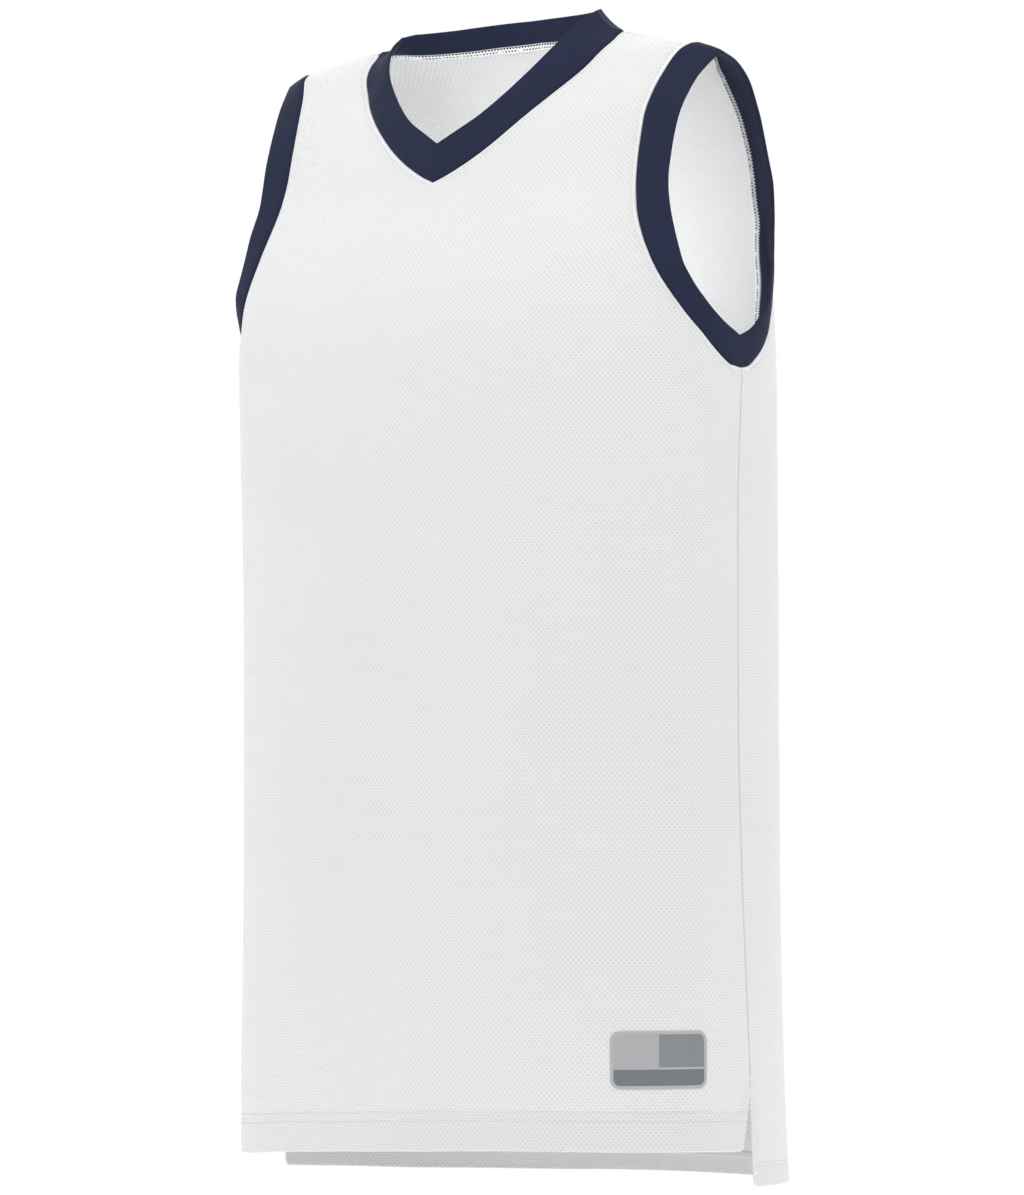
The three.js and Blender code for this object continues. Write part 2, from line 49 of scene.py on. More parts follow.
# Level sections of the body, each two half superellipses that meet at the sides.
SECTIONS = table(
    ("z", "half_width", "front", "front_power", "back", "back_power"),
    [
        (-765, 193.5, 108.5, 2.3, 148.5, 2.6),
        (-700, 193, 112, 2.3, 141, 2.6),
        (-620, 192.7, 111.3, 2.28, 137, 2.6),
        (-520, 192.5, 109.8, 2.27, 134, 2.6),
        (-420, 192.5, 110, 2.27, 131.5, 2.6),
        (-330, 192.5, 112.5, 2.28, 129.5, 2.6),
        (-255, 192.5, 117, 2.3, 127, 2.6),
        (-217, 192.5, 117, 2.3, 123.5, 2.6),
        (-178, 192, 110, 2.3, 120.5, 2.6),
        (-144, 191.5, 97, 2.2, 120, 2.6),
        (-105, 191, 75.5, 2.08, 117.5, 2.6),
        (-86, 191, 68.5, 2, 113, 2.6),
        (-62, 190.5, 58.5, 2, 101, 2.6),
        (-47, 190.5, 48.5, 2, 90, 2.6),
        (-31, 190, 34.5, 2, 74, 2.6),
        (-22, 185, 27.5, 2, 66, 2.5),
        (-14.5, 158, 20.5, 2, 61, 2.3),
        (-10, 132, 15, 2, 59, 2.2),
        (-5.5, 113, 9.5, 2, 56.7, 2.13),
        (-2, 100.5, 6, 2, 55, 2.05),
        (0, 95, 4.5, 2, 54, 2),
        (10, 55, 2, 2, 44, 2),
    ],
)

# Where the side seam runs, as a distance behind the side.
SIDE_SEAM = table(
    ("z", "behind"),
    [(-765, 10.5), (-696, 10.5), (-650, 8), (-560, 2), (-450, -2), (-330, -2), (-230, 3)],
)

# How the hems hang, by the angle from the panel's centre line towards the wearer's left.
FRONT_HEM = table(
    ("turn", "z"),
    [
        (-90, -748.5),
        (-68, -747.3),
        (-45, -742.8),
        (-20, -740),
        (0, -738.5),
        (25, -736.6),
        (50, -735.2),
        (72, -735.4),
        (90, -737),
    ],
)
BACK_HEM = table(
    ("turn", "z"),
    [
        (-90, -760.5),
        (-73, -763.8),
        (-50, -766.8),
        (-25, -766.2),
        (0, -764.2),
        (25, -763.1),
        (55, -762),
        (90, -760.5),
    ],
)

# The neckline seam from the centre front to the shoulder, and from the centre back to it.
FRONT_NECK_SEAM = table(
    ("x", "z"),
    [
        (0, -103),
        (11.6, -97.8),
        (33.2, -84.7),
        (59.7, -62),
        (82.3, -38.5),
        (94.5, -22),
        (99, -10),
        (100.5, -2),
    ],
)
BACK_NECK_SEAM = table(
    ("x", "z"),
    [(0, 5.5), (29, 4.7), (51, 3.2), (72, 1.7), (90, 0.3), (100.5, -2)],
)

# The free edge of the neckband, from the centre to the highest point beside the neck.
FRONT_NECK_EDGE = table(
    ("x", "y", "z"),
    [
        (0, -69.7, -76.3),
        (13.8, -65.6, -67.8),
        (27.8, -61, -58.7),
        (48.8, -48.1, -37.7),
        (66.1, -32.1, -14.2),
        (75.5, -13, 5),
        (78.5, 1, 13.6),
    ],
)
BACK_NECK_EDGE = table(
    ("x", "y", "z"),
    [(0, 34, 17.4), (50, 27, 17.2), (73.5, 13, 16.6), (78.5, 1, 13.6)],
)
RIGHT_NECK_DROP = 4.1
RIGHT_NECK_SPREAD = 3.5

# The armhole seam and the free edge of its band, both from the underarm to the shoulder.
FRONT_ARM_SEAM = table(
    ("x", "z"),
    [
        (192.5, -230),
        (191.6, -225),
        (188, -211.5),
        (180.2, -194),
        (172.3, -178),
        (164.8, -162),
        (156.9, -144),
        (150.3, -125),
        (146.2, -105.5),
        (144.7, -86.2),
        (144.7, -67.3),
        (146.7, -48.9),
        (150.7, -31.5),
        (158, -14.5),
    ],
)
BACK_ARM_SEAM = table(
    ("x", "z"),
    [
        (192.5, -230),
        (191.9, -223.8),
        (190.1, -213.8),
        (188.3, -204.9),
        (186.5, -194.5),
        (183.4, -182.6),
        (179, -171),
        (171.5, -157),
        (162, -140),
        (154.5, -122),
        (151, -102),
        (150.5, -78),
        (149.5, -56),
        (147.8, -39),
        (147, -24),
        (158, -14.5),
    ],
)
FRONT_ARM_EDGE = table(
    ("x", "y", "z"),
    [
        (192.5, 1, -208.5),
        (192.2, -18.3, -200),
        (190.3, -35.3, -188),
        (186.7, -46.8, -175),
        (182.8, -51.6, -162),
        (174.5, -51.1, -132.5),
        (168.6, -44.7, -101.3),
        (169.3, -36.4, -70.5),
        (173, -20.3, -42),
        (178.9, 0, -22),
    ],
)
BACK_ARM_EDGE = table(
    ("x", "y", "z"),
    [
        (192.5, 1, -208.5),
        (192.8, 14.3, -203),
        (194, 24, -193.8),
        (194.4, 32, -184),
        (190.3, 41.3, -170),
        (183.5, 53.5, -156),
        (175, 68, -141),
        (169.3, 78, -126),
        (169.8, 76.3, -104),
        (169, 69.3, -79),
        (169.3, 59.2, -54),
        (171.8, 43.5, -35),
        (175, 23, -25.5),
        (178.9, 0, -22),
    ],
)
ARM_SPACING = 0.9

UNDERARM_Z = -230.0
VENT_TOP_Z = -696.5
VENT_CURVE = 1.2
CORNER_RADIUS = 2.0
SEAM_CLEARANCE = 0.1

# The wearer's right shoulder stands a little higher than the left one.
RIGHT_SHOULDER_LIFT = 5.2
LIFT_INNER, LIFT_OUTER = 80.0, 120.0
LIFT_FOOT, LIFT_HEAD = -60.0, -18.0

PANELS = {
    "front": {"centre": 0.0, "turn": 1, "hem_z": -738.5, "hem": FRONT_HEM, "swing": -9.5},
    "back": {"centre": 180.0, "turn": -1, "hem_z": -760.5, "hem": BACK_HEM, "swing": 5.5},
}
CENTRE_SHARE = {"front": 0.45, "back": 0.64}
HEM_STITCHES = {"front": (19.0, 25.0), "back": (12.5, 15.0)}

CLOTH_FRONT = 0.8
CLOTH_BEHIND = 0.1
HEM_DOUBLING = 0.8
SEAM_TUCK = 0.9
SEAM_TUCK_REACH = 1.2
SIDE_TUCK_SHARE = 0.6

# Soft ridges (+) and troughs (-) in the cloth: place, half sizes, height and lean from upright.
FOLDS = table(
    ("angle", "z", "half_width", "half_length", "height", "lean"),
    [
        (8, -205, 34, 40, 2.0, 12),
        (42, -200, 24, 34, 1.6, -14),
        (68, -212, 22, 46, 1.4, -24),
        (-34, -208, 30, 44, 1.8, 18),
        (-66, -216, 22, 50, 1.3, 20),
        (16, -430, 90, 120, -0.8, 0),
        (26, -320, 17, 95, -1.2, 8),
        (54, -380, 20, 130, 1.2, -5),
        (72, -470, 16, 150, -1.0, -4),
        (-12, -360, 18, 110, 1.0, -7),
        (-52, -420, 18, 140, 1.1, 5),
        (-76, -520, 15, 150, -0.9, 3),
        (6, -640, 22, 90, 1.4, 4),
        (34, -665, 20, 80, -1.2, -6),
        (60, -630, 24, 100, 1.3, -3),
        (-24, -655, 20, 85, -1.2, 5),
        (-56, -640, 22, 90, 1.2, 2),
        (172, -190, 30, 60, 1.6, -10),
        (142, -170, 22, 60, -1.4, 16),
        (-150, -180, 24, 64, 1.5, -15),
        (-124, -210, 20, 60, -1.2, -22),
        (118, -240, 20, 62, 1.3, 24),
        (160, -420, 70, 150, -3.0, 0),
        (-158, -450, 60, 150, -2.4, 0),
        (176, -560, 20, 130, 1.4, 4),
        (138, -520, 20, 150, 1.4, -4),
        (112, -560, 16, 140, -1.0, 3),
        (-136, -560, 19, 150, 1.3, 4),
        (-110, -500, 16, 140, -1.0, -4),
        (152, -680, 20, 80, -1.5, 5),
        (-166, -670, 22, 80, 1.5, -4),
        (-128, -690, 18, 70, -1.3, -5),
    ],
)

NORMAL_STEP = 0.05


def lerp(a, b, share):
    return a + (b - a) * share


def smooth(value, low, high):
    """0 below low and 1 above high, with a soft rise between them."""
    share = np.clip((value - low) / (high - low), 0, 1)
    return share * share * (3 - 2 * share)


def through(knots, values):
    """A cubic through the rows of a table, with slopes that never overshoot them."""
    step = np.diff(knots)
    secant = np.diff(values) / step
    slope = np.concatenate([secant[:1], np.zeros(len(knots) - 2), secant[-1:]])
    before, after = secant[:-1], secant[1:]
    heavy, light = 2 * step[1:] + step[:-1], step[1:] + 2 * step[:-1]
    same = before * after > 0
    slope[1:-1][same] = (heavy + light)[same] / (heavy[same] / before[same] + light[same] / after[same])

    def read(value):
        value = np.clip(value, knots[0], knots[-1])
        row = np.clip(np.searchsorted(knots, value) - 1, 0, len(knots) - 2)
        share = (value - knots[row]) / step[row]
        leave, arrive = slope[row] * step[row], slope[row + 1] * step[row]
        rise = values[row + 1] - values[row]
        cubic = leave + share * (3 * rise - 2 * leave - arrive + share * (leave + arrive - 2 * rise))
        return values[row] + share * cubic

    return read


section = {name: through(SECTIONS["z"], column) for name, column in SECTIONS.items() if name != "z"}
seam_behind_side = through(SIDE_SEAM["z"], SIDE_SEAM["behind"])


def place(x, y, z):
    """Three broadcast columns as points."""
    return np.stack(np.broadcast_arrays(x, y, z), axis=-1).astype(float)


def unit(vectors):
    return vectors / np.maximum(np.linalg.norm(vectors, axis=-1, keepdims=True), 1e-9)


def body_point(angle, z):
    """The body's surface: on each half of a level section, (across/width)^p + (deep/depth)^p = 1."""
    turn = np.radians(angle)
    side, ahead = np.sin(turn), np.cos(turn)
    in_front = ahead >= 0
    power = np.where(in_front, section["front_power"](z), section["back_power"](z))
    depth = np.where(in_front, section["front"](z), section["back"](z))
    across, deep = np.abs(side) / section["half_width"](z), np.abs(ahead) / depth
    radius = (across**power + deep**power) ** (-1 / power)
    return place(radius * side, -radius * ahead, z)


def body_normal(angle, z):
    """Outward: a short step round the surface crossed with a short step up it."""
    around = body_point(angle + NORMAL_STEP, z) - body_point(angle - NORMAL_STEP, z)
    upward = body_point(angle, z + NORMAL_STEP) - body_point(angle, z - NORMAL_STEP)
    return unit(np.cross(around, upward))


def angle_at(half, x, z):
    """The angle at which the front or back of the section at height z stands x to the side."""
    power = section[half + "_power"](z)
    share = np.minimum(1, x / section["half_width"](z))
    depth = section[half](z) * (1 - share**power) ** (1 / power)
    return np.degrees(np.arctan2(x, depth if half == "front" else -depth))


def run_along(points):
    """Length along a line of points, from 0 at its first."""
    steps = np.linalg.norm(np.diff(points, axis=0), axis=-1)
    return np.concatenate([[0], np.cumsum(steps)])


def path_through(rows, points):
    """Reads a table's columns by the share of the length of the line through its rows' points."""
    run = run_along(points)
    columns = {name: through(run, column) for name, column in rows.items()}
    return lambda share: {name: read(share * run[-1]) for name, read in columns.items()}


def seam_path(half, rows):
    """A seam over the front or back surface, read as angles and heights."""
    path = path_through(rows, body_point(angle_at(half, rows["x"], rows["z"]), rows["z"]))

    def read(share):
        spot = path(share)
        return angle_at(half, spot["x"], spot["z"]), spot["z"]

    return read


def edge_path(rows):
    """A free edge, read as points."""
    path = path_through(rows, place(rows["x"], rows["y"], rows["z"]))
    return lambda share: place(*path(share).values())


neck_seam = {"front": seam_path("front", FRONT_NECK_SEAM), "back": seam_path("back", BACK_NECK_SEAM)}
arm_seam = {"front": seam_path("front", FRONT_ARM_SEAM), "back": seam_path("back", BACK_ARM_SEAM)}
neck_edge = {"front": edge_path(FRONT_NECK_EDGE), "back": edge_path(BACK_NECK_EDGE)}
arm_edge = {"front": edge_path(FRONT_ARM_EDGE), "back": edge_path(BACK_ARM_EDGE)}

# Lengths of cloth on the bare body: round each level from the centre front, and up from the hem.
CHART_ANGLES = np.linspace(0, 180, 361)
CHART_HEIGHTS = np.linspace(-780, 10, 317)
UP_ANGLE = {"front": 35.0, "back": 145.0}
chart_points = body_point(CHART_ANGLES[None, :], CHART_HEIGHTS[:, None])
chart_steps = np.linalg.norm(np.diff(chart_points, axis=1), axis=2)
round_chart = np.concatenate([np.zeros((len(CHART_HEIGHTS), 1)), np.cumsum(chart_steps, axis=1)], axis=1)
up_chart = {half: run_along(body_point(angle, CHART_HEIGHTS)) for half, angle in UP_ANGLE.items()}


def length_round(angle, z):
    """The signed length from the centre front round to the angle, at height z."""
    column = np.clip(np.abs(angle) / CHART_ANGLES[1], 0, len(CHART_ANGLES) - 1.001)
    row = (z - CHART_HEIGHTS[0]) / (CHART_HEIGHTS[1] - CHART_HEIGHTS[0])
    row = np.clip(row, 0, len(CHART_HEIGHTS) - 1.001)
    i, j = row.astype(int), column.astype(int)
    up, along = row - i, column - j
    low = lerp(round_chart[i, j], round_chart[i, j + 1], along)
    high = lerp(round_chart[i + 1, j], round_chart[i + 1, j + 1], along)
    return np.sign(angle) * lerp(low, high, up)


def length_up(half, z):
    """The length of cloth from the hem's height up to z."""
    return np.interp(z, CHART_HEIGHTS, up_chart[half])


def relief(angle, z):
    """The height of the folds: each is a bell across and a bell along, and they add up."""
    angle, z = np.broadcast_arrays(np.asarray(angle, float), np.asarray(z, float))
    girth = 2 * length_round(np.full_like(z, 180.0), z)[..., None]
    apart = length_round(angle, z)[..., None] - length_round(FOLDS["angle"], FOLDS["z"])
    apart = (apart + girth / 2) % girth - girth / 2
    above = z[..., None] - FOLDS["z"]
    lean = np.radians(FOLDS["lean"])
    across = apart * np.cos(lean) + above * np.sin(lean)
    along = above * np.cos(lean) - apart * np.sin(lean)
    bells = np.exp(-((across / FOLDS["half_width"]) ** 2) - (along / FOLDS["half_length"]) ** 2)
    return (bells * FOLDS["height"]).sum(axis=-1)


def cloth_point(angle, z, lift=0.0):
    """A point of the cloth's middle with its folds, moved out by lift, and the outward direction."""
    out = body_normal(angle, z)
    return body_point(angle, z) + out * (relief(angle, z) + lift)[..., None], out


def distance_to_line(points, line):
    """The least distance from each point to a line's straight stretches."""
    start, step = line[:-1], np.diff(line, axis=0)
    reach = (step**2).sum(axis=1)
    nearest = np.full(len(points), np.inf)
    for part in np.array_split(np.arange(len(points)), max(1, len(points) // 2000)):
        apart = points[part, None, :] - start
        share = np.clip((apart * step).sum(axis=2) / reach, 0, 1)
        nearest[part] = np.linalg.norm(apart - share[..., None] * step, axis=2).min(axis=1)
    return nearest


def lattice(rows, columns):
    """The four corners of each cell of a grid of points, as row and column numbers."""
    row, column = np.meshgrid(np.arange(rows - 1), np.arange(columns - 1), indexing="ij")
    row, column = row.reshape(-1, 1), column.reshape(-1, 1)
    return row + np.array([0, 0, 1, 1]), column + np.array([0, 1, 1, 0])


def add_piece(name, node, finish, points, faces, uv=None, attributes=None):
    """A mesh object from points in millimetres, with its faces turned outwards by its volume, in
    place of its node."""
    lift = smooth(-points[:, 0], LIFT_INNER, LIFT_OUTER) * smooth(points[:, 2], LIFT_FOOT, LIFT_HEAD)
    points = points + place(0, 0, RIGHT_SHOULDER_LIFT * lift)
    corners = points[faces]
    volume = np.einsum("ij,ij->i", corners[:, 0], np.cross(corners[:, 1], corners[:, 2])).sum()
    if faces.shape[1] == 4:
        volume += np.einsum("ij,ij->i", corners[:, 0], np.cross(corners[:, 2], corners[:, 3])).sum()
    if volume < 0:
        faces = faces[:, ::-1]
        uv = None if uv is None else uv[:, ::-1]
    mesh = bpy.data.meshes.new(name)
    mesh.vertices.add(len(points))
    mesh.loops.add(faces.size)
    mesh.polygons.add(len(faces))
    mesh.vertices.foreach_set("co", (points * MM).astype(np.float32).ravel())
    mesh.loops.foreach_set("vertex_index", faces.astype(np.int32).ravel())
    mesh.polygons.foreach_set("loop_start", np.arange(0, faces.size, faces.shape[1], dtype=np.int32))
    mesh.polygons.foreach_set("use_smooth", np.ones(len(faces), dtype=bool))
    mesh.update(calc_edges=True)
    if uv is not None:
        layer = mesh.uv_layers.new(name="cloth_lengths")
        layer.data.foreach_set("uv", (uv * MM).astype(np.float32).ravel())
    for label, values in (attributes or {}).items():
        mesh.attributes.new(label, "FLOAT", "POINT").data.foreach_set("value", values.astype(np.float32))
    mesh.validate()
    piece = bpy.data.objects.new(name, mesh)
    bpy.context.scene.collection.objects.link(piece)
    piece.data.materials.append(finish)
    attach(piece, "root")
    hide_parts(node)
    return piece


class Wire:
    """One output socket. Sums written on wires add Math nodes, so a mask reads as a formula."""

    def __init__(self, tree, socket=None):
        self.tree, self.socket = tree, socket

    def node(self, kind, inputs, output=0, **settings):
        """Adds a node, sets its settings, then the value or link of each input, and gives an output."""
        node = self.tree.nodes.new(kind)
        for name, value in settings.items():
            setattr(node, name, value)
        for name, value in inputs.items():
            if isinstance(value, Wire):
                self.tree.links.new(value.socket, node.inputs[name])
            else:
                node.inputs[name].default_value = value
        return Wire(self.tree, node.outputs[output])

    def math(self, operation, *values):
        return self.node("ShaderNodeMath", dict(enumerate(values)), operation=operation)

    def __add__(self, other):
        return self.math("ADD", self, other)

    def __sub__(self, other):
        return self.math("SUBTRACT", self, other)

    def __rsub__(self, other):
        return self.math("SUBTRACT", other, self)

    def __mul__(self, other):
        return self.math("MULTIPLY", self, other)

    def __truediv__(self, other):
        return self.math("DIVIDE", self, other)

    __radd__, __rmul__ = __add__, __mul__

    def rise(self, low, high, start=0.0, end=1.0):
        """A soft step from start to end as the value goes from low to high."""
        inputs = {"Value": self, "From Min": low, "From Max": high, "To Min": start, "To Max": end}
        return self.node("ShaderNodeMapRange", inputs, interpolation_type="SMOOTHSTEP")

    def mix(self, first, second):
        """first where this mask is 0 and second where it is 1, as colours."""
        inputs = {0: self, 6: first, 7: second}
        return self.node("ShaderNodeMix", inputs, output=2, data_type="RGBA")

    def noise(self, vector, scale, detail=2.0):
        inputs = {"Vector": vector, "Scale": scale, "Detail": detail}
        return self.node("ShaderNodeTexNoise", inputs, noise_dimensions="3D")

    def lengths(self):
        """The piece's own lengths along and across, in millimetres."""
        uv = self.node("ShaderNodeUVMap", {}, uv_map="cloth_lengths")
        return [self.node("ShaderNodeSeparateXYZ", {0: uv}, output=axis) * 1000.0 for axis in (0, 1)]

    def attribute(self, name):
        return self.node("ShaderNodeAttribute", {}, output=2, attribute_name=name)

    def object_place(self):
        return self.node("ShaderNodeTexCoord", {}, output=3)


def finish_named(name, build, **fixed):
    """A material whose Principled sockets come from build(wire) where they vary, and from fixed."""
    material = bpy.data.materials.new(name)
    material.use_nodes = True
    tree = material.node_tree
    shader = tree.nodes["Principled BSDF"]
    for socket, value in fixed.items():
        shader.inputs[socket.replace("_", " ")].default_value = value
    for socket, wire in build(Wire(tree)).items():
        tree.links.new(wire.socket, shader.inputs[socket])
    return material


def rgb(red, green, blue):
    return (red, green, blue, 1.0)


DIMPLE_PITCH, DIMPLE_ROW = 3.4, 1.93
DIMPLE_HALF_WIDTH, DIMPLE_HALF_HEIGHT = 0.75, 0.5


def mesh_cloth(wire):
    """White mesh: staggered rows of small oval dimples darkened by painted shade, which fade beside the
    bands' seams, where a painted highlight lightens the edge; a painted shadow marks the side seams.
    """
    across, up = wire.lengths()
    spot = wire.object_place()
    drift = wire.noise(spot, 160.0) - 0.5
    row = up / DIMPLE_ROW + drift * 0.25
    step = row.math("FLOOR", row).math("MODULO", row.math("FLOOR", row), 2.0) * 0.5
    column = across / DIMPLE_PITCH + drift * 0.2 + step
    aside = (column.math("FRACT", column) - 0.5) * (DIMPLE_PITCH / DIMPLE_HALF_WIDTH)
    above = (row.math("FRACT", row) - 0.5) * (DIMPLE_ROW / DIMPLE_HALF_HEIGHT)
    oval = (aside * aside + above * above).rise(0.25, 1.5, 1.0, 0.0)
    edge = wire.attribute("seam_gap").rise(0.9, 2.2)
    depth = oval * edge * (0.75 + 0.5 * wire.noise(spot, 22.0))
    mottle = wire.noise(spot, 9.0, 3.0)
    ground = mottle.mix(rgb(0.675, 0.677, 0.682), rgb(0.705, 0.706, 0.709))
    # Beside the bands' seams the dimples fade, and a painted highlight of the turned edge's ridge lightens
    # the cloth.
    highlit_edge = edge.mix(rgb(0.86, 0.86, 0.86), ground)
    # The dimples are bumped in and also darkened: painted shade in their hollows.
    colour = (depth * 0.9).mix(highlit_edge, rgb(0.56, 0.564, 0.575))
    # A painted shadow darkens a thin line along the side seams' groove.
    colour = wire.attribute("side_gap").rise(0.3, 0.9, 0.45, 0.0).mix(colour, rgb(0.4, 0.4, 0.41))
    yarn = wire.noise(spot, 2200.0, 1.0)
    height = yarn * 0.12 - depth
    normal = wire.node("ShaderNodeBump", {"Strength": 0.55, "Distance": 0.00025, "Height": height})
    return {"Base Color": colour, "Roughness": 0.78 + 0.1 * mottle, "Normal": normal}


KNIT_RIB = 0.9


def navy_knit(wire):
    """Navy interlock: fine ribs across the band and a faint mottle."""
    turn = wire.lengths()[0] * (2 * np.pi / KNIT_RIB)
    spot = wire.object_place()
    rib = turn.math("SINE", turn) * 0.5 + 0.5
    mottle = wire.noise(spot, 60.0, 3.0)
    colour = (mottle * 0.7 + rib * 0.3).mix(rgb(0.0142, 0.0182, 0.042), rgb(0.0182, 0.0232, 0.053))
    yarn = wire.noise(spot, 1800.0, 1.0)
    height = rib * 0.6 + yarn * 0.4
    normal = wire.node("ShaderNodeBump", {"Strength": 0.35, "Distance": 0.00015, "Height": height})
    return {"Base Color": colour, "Roughness": 0.72 + 0.12 * mottle, "Normal": normal}


def plain_tag(wire):
    """Pressed-on film: a pale rim round a light field, a darker field and a darker strip."""
    across, up = wire.lengths()
    spot = wire.object_place()
    rim = wire.attribute("rim_gap").rise(1.7, 2.1)
    darker = across.rise(-1.2, -0.8)
    strip = up.rise(-6.2, -5.8, 1.0, 0.0)
    parting = up.rise(-6.1, -5.8) * up.rise(-4.9, -4.6, 1.0, 0.0) * darker
    grain = wire.noise(spot, 900.0, 2.0)
    fields = darker.mix(rgb(0.36, 0.36, 0.375), rgb(0.205, 0.215, 0.235))
    fields = parting.mix(fields, rgb(0.4, 0.4, 0.42))
    fields = strip.mix(fields, (grain * 0.6).mix(rgb(0.13, 0.14, 0.155), rgb(0.2, 0.21, 0.22)))
    colour = rim.mix(rgb(0.385, 0.39, 0.39), fields)
    normal = wire.node("ShaderNodeBump", {"Strength": 0.3, "Distance": 0.0001, "Height": grain})
    return {"Base Color": colour, "Roughness": 0.42 + 0.2 * grain, "Normal": normal}


def sewing_thread(wire):
    """White thread with a faint twist."""
    spot = wire.object_place()
    mottle = wire.noise(spot, 700.0, 1.0)
    colour = mottle.mix(rgb(0.68, 0.68, 0.685), rgb(0.8, 0.8, 0.805))
    normal = wire.node("ShaderNodeBump", {"Strength": 0.3, "Distance": 0.0001, "Height": mottle})
    return {"Base Color": colour, "Normal": normal}


OVERLOCK_JAG, OVERLOCK_PITCH, OVERLOCK_ROW, OVERLOCK_RIB = 1.5, 2.3, 2.7, 0.75


def overlocked(wire):
    """White loops of thread over a navy allowance, with a jagged border and navy flecks between."""
    along, across = wire.lengths()
    spot = wire.object_place()
    navy_to = wire.attribute("navy_to")
    step = along / OVERLOCK_PITCH
    off = step.math("FRACT", step) - 0.5
    off = off.math("ABSOLUTE", off)
    jag = off * (2 * OVERLOCK_JAG)
    thread = (across - navy_to - jag).rise(-0.2, 0.2)
    banded = navy_to.rise(-1.0, 0.0)
    from_row = across - navy_to - OVERLOCK_ROW
    dash = from_row.math("ABSOLUTE", from_row).rise(0.4, 0.65, 1.0, 0.0) * off.rise(0.25, 0.33, 1.0, 0.0)
    fleck = dash * wire.noise(spot, 260.0, 1.0).rise(0.38, 0.48) * banded
    slant = (along + across * 0.6) * (2 * np.pi / OVERLOCK_RIB)
    rib = slant.math("SINE", slant) * 0.5 + 0.5
    white = rib.mix(rgb(0.86, 0.86, 0.865), rgb(0.97, 0.97, 0.97))
    white = (fleck * 0.95).mix(white, rgb(0.02, 0.022, 0.04))
    colour = (thread * banded + (1.0 - banded)).mix(rgb(0.022, 0.027, 0.058), white)
    normal = wire.node("ShaderNodeBump", {"Strength": 0.5, "Distance": 0.0002, "Height": rib})
    return {"Base Color": colour, "Normal": normal}


CLOTH = finish_named(
    "white_mesh_cloth",
    mesh_cloth,
    Specular_IOR_Level=0.2,
    Sheen_Weight=0.05,
    Sheen_Roughness=0.5,
    Subsurface_Weight=1.0,
    Subsurface_Radius=(1.0, 1.0, 1.0),
    Subsurface_Scale=0.0016,
)
KNIT = finish_named(
    "navy_band_knit", navy_knit, Specular_IOR_Level=0.12, Sheen_Weight=0.03, Sheen_Roughness=0.4
)
FILM = finish_named("grey_tag_film", plain_tag, Specular_IOR_Level=0.3)
THREAD = finish_named("white_sewing_thread", sewing_thread, Roughness=0.6, Specular_IOR_Level=0.3)
OVERLOCKED = finish_named("overlocked_edge", overlocked, Roughness=0.75, Specular_IOR_Level=0.2)


def signed(path, side):
    """A path of angles and heights on the wearer's left (side 1), or mirrored (side -1)."""
    return path[0] * side, path[1]


def side_angle(panel, z):
    """The side seam's angle, and below the vent's top the angle of the panel's open edge."""
    opened = np.maximum(0, (VENT_TOP_Z - z) / (VENT_TOP_Z - panel["hem_z"]))
    behind = seam_behind_side(z) + panel["swing"] * opened**VENT_CURVE - panel["turn"] * SEAM_CLEARANCE
    return 90 + np.degrees(np.arcsin(behind / section["half_width"](z)))


def hem_height(panel, angle, side):
    """The height of a panel's hem at an angle on the wearer's left (side 1) or right (side -1)."""
    return through(panel["hem"]["turn"], panel["hem"]["z"])(np.abs(angle - panel["centre"]) * side)


COLUMNS = 64
ROW_STEP = 4.0
UPPER_ROWS = 66
EDGE_STEPS = np.array([0.0, 0.7, 1.6, 3.0])
CLOSER_ROWS = 10


def column_places(length, closer):
    """Places along rows of the given lengths, close together at the outer end, and at the inner
    end too in step with closer."""
    length, closer = length[:, None], closer[:, None]
    open_start = np.linspace(0, 1, COLUMNS - 2) * (length - EDGE_STEPS[-1])
    middle = lerp(EDGE_STEPS[-1], length - EDGE_STEPS[-1], np.linspace(0, 1, COLUMNS - 5))
    close_start = np.concatenate([np.broadcast_to(EDGE_STEPS[:-1], (len(length), 3)), middle], axis=1)
    places = lerp(open_start, close_start, closer)
    return np.concatenate([places, length - EDGE_STEPS[2], length - EDGE_STEPS[1], length], axis=1) / length


def row_lengths(inner, outer):
    """How long each row is, from its two ends given as angles and heights."""
    share = np.linspace(0, 1, 25)
    angle = lerp(inner[0][:, None], outer[0][:, None], share)
    z = lerp(inner[1][:, None], outer[1][:, None], share)
    return np.linalg.norm(np.diff(body_point(angle, z), axis=1), axis=2).sum(axis=1)


FOLD_ROWS = [0, 0.5, 1.2, 2.2]
GROOVE_ROWS = [-1.5, -0.6, 0, 0.6, 1.5]


def hem_rows(half, rise):
    """Heights above the hem: even steps, with closer ones at the fold and the stitched lines."""
    lines = [line + near for line in HEM_STITCHES[half] for near in GROOVE_ROWS]
    even = np.linspace(ROW_STEP, rise, int(rise / ROW_STEP))
    return np.unique(np.concatenate([FOLD_ROWS, lines, even]))


